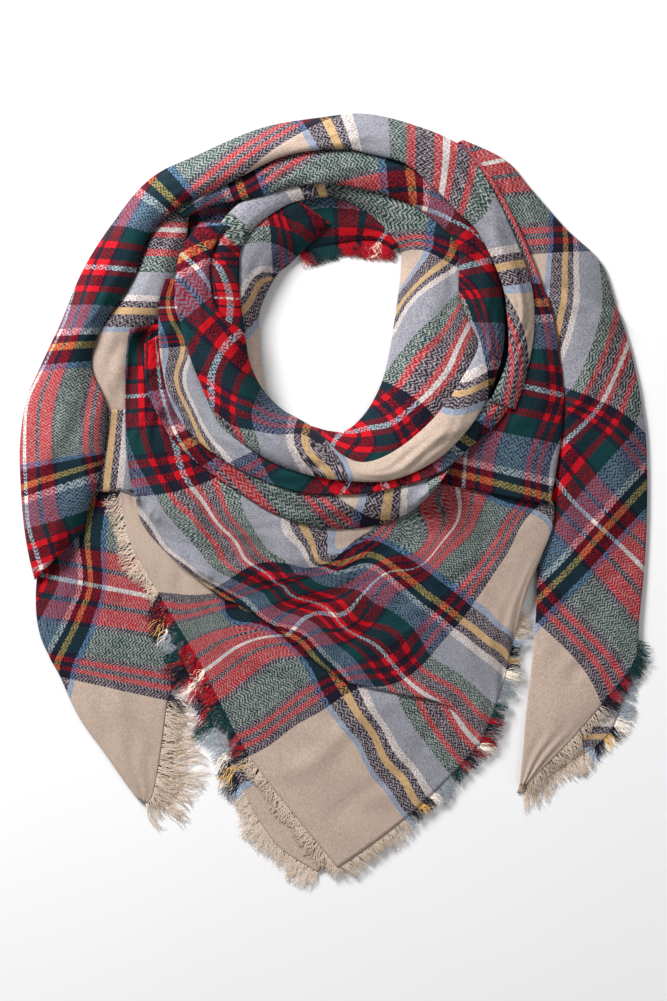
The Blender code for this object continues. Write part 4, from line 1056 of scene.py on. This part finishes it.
def plaid_cloth(yarns, sizes):
    """Herringbone twill of two striped yarn systems, brushed."""
    if "brushed_plaid_twill" in bpy.data.materials:
        return bpy.data.materials["brushed_plaid_twill"]
    graph = Graph("brushed_plaid_twill")
    place, u, v = cloth_places(graph, 1.3)
    along, along_cover = stripes(graph, u, ALONG_REPEAT, ALONG_STRIPES, yarns)
    across, across_cover = stripes(graph, v, ACROSS_REPEAT, ACROSS_STRIPES, yarns)
    pitch = sizes.yarn_pitch * METRE
    end, pick = graph.math("SNAP", u, pitch), graph.math("SNAP", v, pitch)
    one = graph.node("CombineXYZ", {0: end, 1: pick})
    fleck = graph.node("TexWhiteNoise", {"Vector": one.outputs[0]},
                       noise_dimensions="2D").outputs["Value"]
    leg = graph.math("PINGPONG", pick, sizes.zigzag * METRE)
    slub = graph.math("SUBTRACT", graph.noise(place, 300.0), 0.5)
    line = graph.math("ADD", graph.math("ADD", end, leg),
                      graph.math("MULTIPLY", slub, 2.6))
    phase = graph.math("FRACT", graph.math("DIVIDE", line, sizes.twill * METRE))
    ridge = graph.math("PINGPONG", graph.math("MULTIPLY", phase, 2.0), 1.0)
    ridge = graph.math("ADD", ridge, graph.math("MULTIPLY", graph.math(
        "SUBTRACT", fleck, 0.5), 0.55))
    even = graph.math("DIVIDE", along_cover,
                      graph.math("ADD", along_cover, across_cover))
    share = graph.ranged(
        ridge, graph.math("SUBTRACT", even, TWILL_BLUR),
        graph.math("ADD", even, TWILL_BLUR), 0.03, 0.97, interpolation_type="SMOOTHSTEP",
    )
    apart = graph.node("VectorMath", {0: along, 1: across},
                       operation="DISTANCE").outputs["Value"]
    alike = graph.ranged(apart, 0.2, 0.42, 0.6, 0.0)
    share = graph.math("ADD", share, graph.math(
        "MULTIPLY", alike, graph.math("SUBTRACT", even, share)))
    woven = graph.mix(share, lit_by(graph, along, across, across_cover),
                      lit_by(graph, across, along, along_cover))
    thin = graph.math("MINIMUM", along_cover, across_cover)
    thick = graph.ranged(thin, 0.5, 0.66, 0.0, 1.0)
    mixed = graph.ranged(apart, 0.02, 0.2, 0.0, 1.0)
    closed = graph.math("MULTIPLY", thick, mixed)
    sunk = graph.math("SUBTRACT", 1.0, graph.math("MULTIPLY", closed, CLOSED_SHADE))
    uneven = graph.math("ABSOLUTE", graph.math("SUBTRACT", along_cover, across_cover))
    odd = graph.ranged(uneven, 0.05, 0.3, 0.0, 1.0)
    # Painted shade: the colour darkens in the grooves between yarns, where one yarn gives
    # way to the other, and more so where unlike yarns cross; depth also drives the bump.
    gap = graph.math("ABSOLUTE", graph.math("SUBTRACT", ridge, even))
    gap_shade_floor = graph.ranged(odd, 0.0, 1.0, 0.88, 0.55)
    depth = graph.ranged(gap, 0.0, 0.2, gap_shade_floor, 1.0)
    cool = graph.mix(closed, graph.mix(odd, WHITE, UNLIKE_TINT), CLOSED_TINT)
    # Painted groove shade (depth) times the darker tone of crossings (sunk) and random
    # flecks.
    level = graph.math("MULTIPLY", graph.math("MULTIPLY", depth, sunk),
                       graph.math("ADD", graph.math("MULTIPLY", fleck, 0.30), 0.85))
    woven = scaled(graph, graph.mix(1.0, woven, cool, "MULTIPLY"), level)
    soft_finish(graph, place, woven, depth)
    return graph.material


def fringe_yarns(yarns, direction):
    """Loose yarn ends in the stripe colours of one yarn direction."""
    name = f"fringe_yarns_{direction}"
    if name in bpy.data.materials:
        return bpy.data.materials[name]
    graph = Graph(name)
    _, u, v = cloth_places(graph, 2.0)
    if direction == "along":
        colour, _ = stripes(graph, u, ALONG_REPEAT, ALONG_STRIPES, yarns)
    else:
        colour, _ = stripes(graph, v, ACROSS_REPEAT, ACROSS_STRIPES, yarns)
    solid = graph.node("TexCoord").outputs["Object"]
    pale = graph.node("RGBToBW", {0: colour}).outputs[0]
    # Painted light: the yarn colour is brightened, pale yarns most, to offset the strands'
    # own shadow and stand in for light passing through them.
    lift = graph.ranged(pale, 0.05, 0.4, 1.15, 1.5)
    warm = graph.mix(1.0, colour, AIRY_TINT, "MULTIPLY")
    painted_light_yarn = scaled(graph, warm, lift)
    soft_finish(graph, solid, painted_light_yarn, graph.noise(solid, 900.0))
    return graph.material


def plain_surface(name, colour, roughness):
    """A plain finish with a faint unevenness, for the floor."""
    graph = Graph(name)
    place = graph.node("TexCoord").outputs["Object"]
    level = graph.ranged(graph.noise(place, 3.0), 0.3, 0.7, 0.985, 1.0)
    tint = scaled(graph, (*colour, 1.0), level)
    graph.tree.links.new(tint, graph.shader.inputs["Base Color"])
    graph.shader.inputs["Roughness"].default_value = roughness
    return graph.material


# --- pieces ------------------------------------------------------------------------


def in_metres(points):
    """Board points as points of the object."""
    return np.column_stack((
        (points[:, 0] - BOARD_CENTRE[0]) * MM, (BOARD_CENTRE[1] - points[:, 1]) * MM,
        points[:, 2] * MM,
    ))


def placed(name, data):
    """An object of the scene, at the origin."""
    item = bpy.data.objects.new(name, data)
    bpy.context.scene.collection.objects.link(item)
    return item


def mesh_data(mesh, name, material):
    """Mesh data made from a finished mesh, which it frees."""
    data = bpy.data.meshes.new(name)
    mesh.to_mesh(data)
    mesh.free()
    data.materials.append(material)
    return data


def shape_cloth(mesh, points, place_of):
    """Move a grid to its board points and write the cloth's place at its corners."""
    for vert, point in zip(mesh.verts, in_metres(points)):
        vert.co = point
    layer = mesh.loops.layers.uv.new("cloth")
    for face in mesh.faces:
        for loop in face.loops:
            loop[layer].uv = place_of(loop.vert)


def closed_piece(mesh, name, material, lower):
    """Close a sheet below, and make the object that rides on the part."""
    result = bmesh.ops.extrude_face_region(mesh, geom=mesh.faces[:], use_keep_orig=True)
    for part in result["geom"]:
        if isinstance(part, bmesh.types.BMVert):
            part.co.z = lower(part.co.z)
    face_outwards(mesh)
    data = mesh_data(mesh, name, material)
    data.shade_smooth()
    item = placed(name, data)
    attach(item, "root")
    return item


def lay_stretch(context, spec):
    """Make one stretch of cloth and lay it on what is already there."""
    name, rows, held, rests_on, ribs, depth, wave = spec
    sizes, yarns = context.scene.scarf_cloth, context.scene.scarf_yarns
    rows = table_of(rows)
    _, length = row_positions(rows, np.array([0.0, 1.0]))
    width = float(np.mean(np.hypot(rows[:, 2] - rows[:, 0], rows[:, 3] - rows[:, 1])))
    along = max(LEAST_CELLS, round(length * MM / sizes.cell_along))
    cells = max(LEAST_CELLS, round(width * MM / sizes.cell_across))
    mesh, share = sheet_grid(along, cells)
    spacing = 0.5 - 0.5 * np.cos(math.pi * share[:, 1])
    across = EDGE_CROWDING * spacing + (1.0 - EDGE_CROWDING) * share[:, 1]
    points, place = surface(name, rows, share[:, 0], across, ribs, depth, wave)
    place = guided(name, points, place, share[:, 0] * length)
    BOARD["below_" + name] = BOARD["top"].copy()
    points[:, 2] = settle(points, triangles_of(mesh), sizes.wall / MM)
    LAID[name] = edges_of(share, points, place)
    shape_cloth(mesh, points, lambda vert: place[vert.index] * MM)
    item = closed_piece(
        mesh, name, plaid_cloth(yarns, sizes), lambda height: height - sizes.wall)
    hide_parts(name)
    crown = rows[:, 7] * CROWN_STRETCH / np.maximum(width, 1.0)
    flat = (width * np.sqrt(1.0 + crown ** 2).mean(), length)
    LAID[name].update(
        flat=tuple(round(side * MM, 3) for side in flat), held=held, rests_on=rests_on,
        object=item,
    )


def edges_of(share, points, place):
    """Points and cloth places along the four sides of a stretch."""
    sides = (("first", 1, 0.0), ("second", 1, 1.0), ("start", 0, 0.0), ("end", 0, 1.0))
    lines = {"middle": points[:, :2].mean(axis=0)}
    for side, axis, value in sides:
        picked = np.flatnonzero(np.abs(share[:, axis] - value) < 1e-6)
        picked = picked[np.argsort(share[picked, 1 - axis])]
        lines[side] = np.column_stack((points[picked], place[picked]))
    return lines


def hidden_layers(context):
    """The folded layers inside the ring, with their folded edges as steps."""
    sizes, yarns = context.scene.scarf_cloth, context.scene.scarf_yarns
    mesh, share = sheet_grid(CORE_ALONG, CORE_ACROSS)
    rows = table_of(HEAP_CORE)
    points, _ = surface("heap_core", rows, share[:, 0], share[:, 1], closed=True)
    step = np.sin(2 * math.pi * CORE_LAYERS * share[:, 1])
    points[:, 2] += CORE_STEP * step * np.sin(math.pi * share[:, 1]) - CORE_STEP
    triangles = triangles_of(mesh)
    cells, owner, weight = cells_under(points, triangles)
    record_top(points[:, 2], triangles[owner], weight, cells)
    scale, shift = CORE_PLACE
    shape_cloth(mesh, points, lambda vert: [x * scale + shift for x in vert.co.xy])
    bmesh.ops.remove_doubles(mesh, verts=mesh.verts[:], dist=1e-7)
    item = closed_piece(
        mesh, "heap_core_layers", plaid_cloth(yarns, sizes), lambda height: 0.0)
    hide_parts("heap_core")


def strand_paths(line, direction_in, lengths, lean, curl, pitch, ground, rng):
    """Centre points of the strands along one edge, and their cloth places."""
    steps = np.hypot(*np.diff(line[:, :2], axis=0).T)
    run = np.concatenate(([0.0], np.cumsum(steps)))
    count = max(LEAST_STRANDS, int(run[-1] / pitch))
    at = np.sort(rng.uniform(0.0, run[-1], count))
    root = np.column_stack([np.interp(at, run, line[:, k]) for k in range(5)])
    ahead = np.column_stack([
        np.interp(np.clip(at + EDGE_SPAN, 0, run[-1]), run, line[:, k])
        - np.interp(np.clip(at - EDGE_SPAN, 0, run[-1]), run, line[:, k])
        for k in range(2)
    ])
    ahead /= np.hypot(ahead[:, 0], ahead[:, 1])[:, None]
    out = np.column_stack((-ahead[:, 1], ahead[:, 0]))
    out *= np.sign(np.sum((root[:, :2] - direction_in) * out))
    whole = np.interp(at, (0.0, run[-1]), lengths)
    wave = LENGTH_WAVE[0] * np.sin(at / LENGTH_WAVE[1])
    whole = whole * (1.0 + wave + rng.normal(0.0, LENGTH_SPREAD, count))
    shortest, longest = LENGTH_LIMITS
    whole = np.clip(whole, shortest * min(lengths), longest * max(lengths))
    turn = lean + LEAN_WAVE[0] * np.sin(at / LEAN_WAVE[1])
    turn = turn + rng.normal(0.0, LEAN_SPREAD, count)
    reach = out * np.cos(turn)[:, None] + ahead * np.sin(turn)[:, None]
    tip = root[:, :2] + reach * whole[:, None]
    group = np.arange(count) // CLUMP
    for one in np.unique(group):
        members = group == one
        tip[members] += (tip[members].mean(axis=0) - tip[members]) * CLUMP_PULL
    bend = rng.normal(0.0, BEND_SPREAD, count) * whole
    swing = rng.uniform(0.0, TURN, count)
    tight = rng.uniform(*CURL_TURNS, count)
    points = np.zeros((count, STRAND_POINTS, 3))
    back = out * ROOT_DEPTH
    for k, part in enumerate(np.linspace(0.0, 1.0, STRAND_POINTS)):
        flat = root[:, :2] - back + (tip - root[:, :2] + back) * part
        grown = curl * min(1.0, CURL_GROWTH * part)
        wavy = grown * np.sin(swing + TURN * tight * part)
        flat = flat + ahead * (bend * math.sin(math.pi * part) + wavy)[:, None]
        index = np.clip(flat.astype(int), 0, np.array(BOARD_SIZE) - 1)
        under = ground[index[:, 0], index[:, 1]] + STRAND_LIFT
        drop = root[:, 2] - ROOT_DROP - TIP_DROP * part ** 1.5 * (root[:, 2] > RAISED)
        height = np.maximum(np.maximum(drop, under), STRAND_FLOOR)
        height = height + rng.uniform(0.0, TIP_SCATTER, count) * part
        points[:, k] = np.column_stack((flat, height))
    return points, root[:, 3:5]


def fringe(context, spec):
    """Loose yarn ends along one cut edge of a stretch."""
    name, cloth, side, first, last, long_start, long_end, lean, curl = spec[:9]
    spacing, direction = spec[9:]
    sizes, yarns = context.scene.scarf_cloth, context.scene.scarf_yarns
    rng = np.random.default_rng(STRAND_SEED + len(name) * SEED_STEP + len(cloth))
    whole = LAID[cloth][side]
    count = len(whole) - 1
    line = whole[round(first * count):round(last * count) + 1]
    ground = widened(BOARD["below_" + cloth])
    points, place = strand_paths(
        line, LAID[cloth]["middle"], (long_start, long_end), lean, curl,
        spacing * sizes.strand_pitch / MM, ground, rng,
    )
    curve = bpy.data.curves.new(name, "CURVE")
    curve.dimensions = "3D"
    curve.bevel_depth = sizes.strand_radius
    curve.bevel_resolution = 0
    for strand in points:
        spline = curve.splines.new("POLY")
        spline.points.add(STRAND_POINTS - 1)
        metres = np.column_stack((in_metres(strand), np.ones(STRAND_POINTS)))
        spline.points.foreach_set("co", metres.ravel())
        spline.points.foreach_set("radius", np.linspace(*STRAND_TAPER, STRAND_POINTS))
    holder = placed(name + "_curve", curve)
    bpy.context.view_layer.update()
    shape = holder.evaluated_get(bpy.context.evaluated_depsgraph_get())
    data = bpy.data.meshes.new_from_object(shape)
    bpy.data.objects.remove(holder)
    each = len(data.vertices) // len(points)
    tubes = bmesh.new()
    tubes.from_mesh(data)
    bmesh.ops.holes_fill(tubes, edges=tubes.edges, sides=4)
    bmesh.ops.recalc_face_normals(tubes, faces=tubes.faces)
    tubes.to_mesh(data)
    tubes.free()
    data.name = name
    for old in list(data.uv_layers):
        data.uv_layers.remove(old)
    layer = data.uv_layers.new(name="cloth")
    owner = np.zeros(len(data.loops), dtype=int)
    data.loops.foreach_get("vertex_index", owner)
    layer.uv.foreach_set("vector", (place[owner // each] * MM).ravel())
    data.materials.clear()
    data.materials.append(fringe_yarns(yarns, direction))
    data.shade_smooth()
    item = placed(name, data)
    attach(item, "root")
    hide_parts(name)
    LAID[cloth].setdefault("fringes", []).append(item)


# --- operators -----------------------------------------------------------------------


class SCARF_OT_core(bpy.types.Operator):
    """Start the laying-out board and lay the hidden layers"""

    bl_idname = "scarf.core"
    bl_label = "Hidden layers"

    def execute(self, context):
        BOARD["top"] = np.full(BOARD_SIZE, FLOOR)
        hidden_layers(context)
        return {"FINISHED"}


def stretch_operator(idname, label, tip, specs):
    """An operator that lays one group of stretches."""
    def execute(self, context):
        for spec in specs:
            lay_stretch(context, spec)
        return {"FINISHED"}

    return type("SCARF_OT_" + idname, (bpy.types.Operator,), {
        "bl_idname": "scarf." + idname, "bl_label": label, "__doc__": tip,
        "execute": execute,
    })


SCARF_OT_tails = stretch_operator("tails", "Tails", "Lay both tails", TAILS)
SCARF_OT_shoulder = stretch_operator(
    "shoulder", "Shoulder and neck edge", "Lay the low folds beside the ring", SHOULDER)
SCARF_OT_bib = stretch_operator("bib", "Point in front", "Lay the front point", BIB)
SCARF_OT_cowl = stretch_operator(
    "cowl", "Cowl and neck lining", "Lay the folds under the roll", COWL)
SCARF_OT_rings = stretch_operator(
    "rings", "Roll and outer band", "Lay the two outer rings", RINGS)


class SCARF_OT_fringe(bpy.types.Operator):
    """Comb the loose yarn ends out of every cut edge"""

    bl_idname = "scarf.fringe"
    bl_label = "Fringe"

    def execute(self, context):
        for spec in FRINGES:
            fringe(context, spec)
        return {"FINISHED"}


def soft_light(name, power, size, place):
    """A large square light that looks at the middle of the scarf."""
    light = bpy.data.lights.new(name, "AREA")
    light.energy, light.size = power, size
    item = placed(name, light)
    item.location = place
    item.rotation_euler = (-Vector(place)).to_track_quat("-Z", "Y").to_euler()


class SCARF_OT_stage(bpy.types.Operator):
    """Make the pale floor, the soft light and the camera"""

    bl_idname = "scarf.stage"
    bl_label = "Floor, light and camera"

    def execute(self, context):
        studio = context.scene.scarf_studio
        mesh = bmesh.new()
        bmesh.ops.create_grid(mesh, x_segments=2, y_segments=2, size=FLOOR_SIZE)
        for vert in mesh.verts:
            vert.co.z = FLOOR_DROP
        surface_of = plain_surface("pale_floor", studio.floor_colour, 0.9)
        floor = placed("floor", mesh_data(mesh, "floor", surface_of))
        for name, share, size, place in LIGHTS:
            soft_light(name, studio.light_power * share, size, place)
        world = bpy.data.worlds.new("soft_room")
        world.use_nodes = True
        room = world.node_tree.nodes["Background"]
        room.inputs["Color"].default_value = (*studio.light_colour, 1.0)
        room.inputs["Strength"].default_value = ROOM_STRENGTH
        context.scene.world = world
        camera = bpy.data.cameras.new("camera")
        camera.sensor_width = SENSOR
        camera.lens = SENSOR * studio.camera_height / studio.view_height
        item = placed("camera", camera)
        item.location = (
            (VIEW_CENTRE[0] - BOARD_CENTRE[0]) * MM,
            (BOARD_CENTRE[1] - VIEW_CENTRE[1]) * MM, studio.camera_height,
        )
        context.scene.camera = item
        context.scene.view_settings.view_transform = "Standard"
        return {"FINISHED"}


class SCARF_PT_panel(bpy.types.Panel):
    """Sizes, colours and steps of the scarf"""

    bl_label = "Blanket scarf"
    bl_idname = "SCARF_PT_panel"
    bl_space_type = "VIEW_3D"
    bl_region_type = "UI"
    bl_category = "Blanket scarf"

    def draw(self, context):
        layout = self.layout
        for group in ("scarf_cloth", "scarf_yarns", "scarf_studio"):
            box = layout.box()
            settings = getattr(context.scene, group)
            for name in settings.__annotations__:
                box.prop(settings, name)
        for step in STEPS:
            layout.operator(step.bl_idname)


STEPS = (
    SCARF_OT_core, SCARF_OT_tails, SCARF_OT_shoulder, SCARF_OT_bib, SCARF_OT_cowl,
    SCARF_OT_rings, SCARF_OT_fringe, SCARF_OT_stage,
)
SETTINGS = (
    ("scarf_yarns", ScarfYarns), ("scarf_cloth", ScarfCloth), ("scarf_studio", ScarfStudio),
)


def register():
    """Register the settings, the operators and the panel."""
    for name, group in SETTINGS:
        bpy.utils.register_class(group)
        setattr(bpy.types.Scene, name, bpy.props.PointerProperty(type=group))
    for kind in (*STEPS, SCARF_PT_panel):
        bpy.utils.register_class(kind)


def unregister():
    """Remove what register added."""
    for kind in reversed((*STEPS, SCARF_PT_panel)):
        bpy.utils.unregister_class(kind)
    for name, group in reversed(SETTINGS):
        delattr(bpy.types.Scene, name)
        bpy.utils.unregister_class(group)


def main():
    """Lay the whole scarf and set the stage."""
    register()
    for step in STEPS:
        group, _, name = step.bl_idname.partition(".")
        getattr(getattr(bpy.ops, group), name)()


if __name__ == "__main__":
    main()
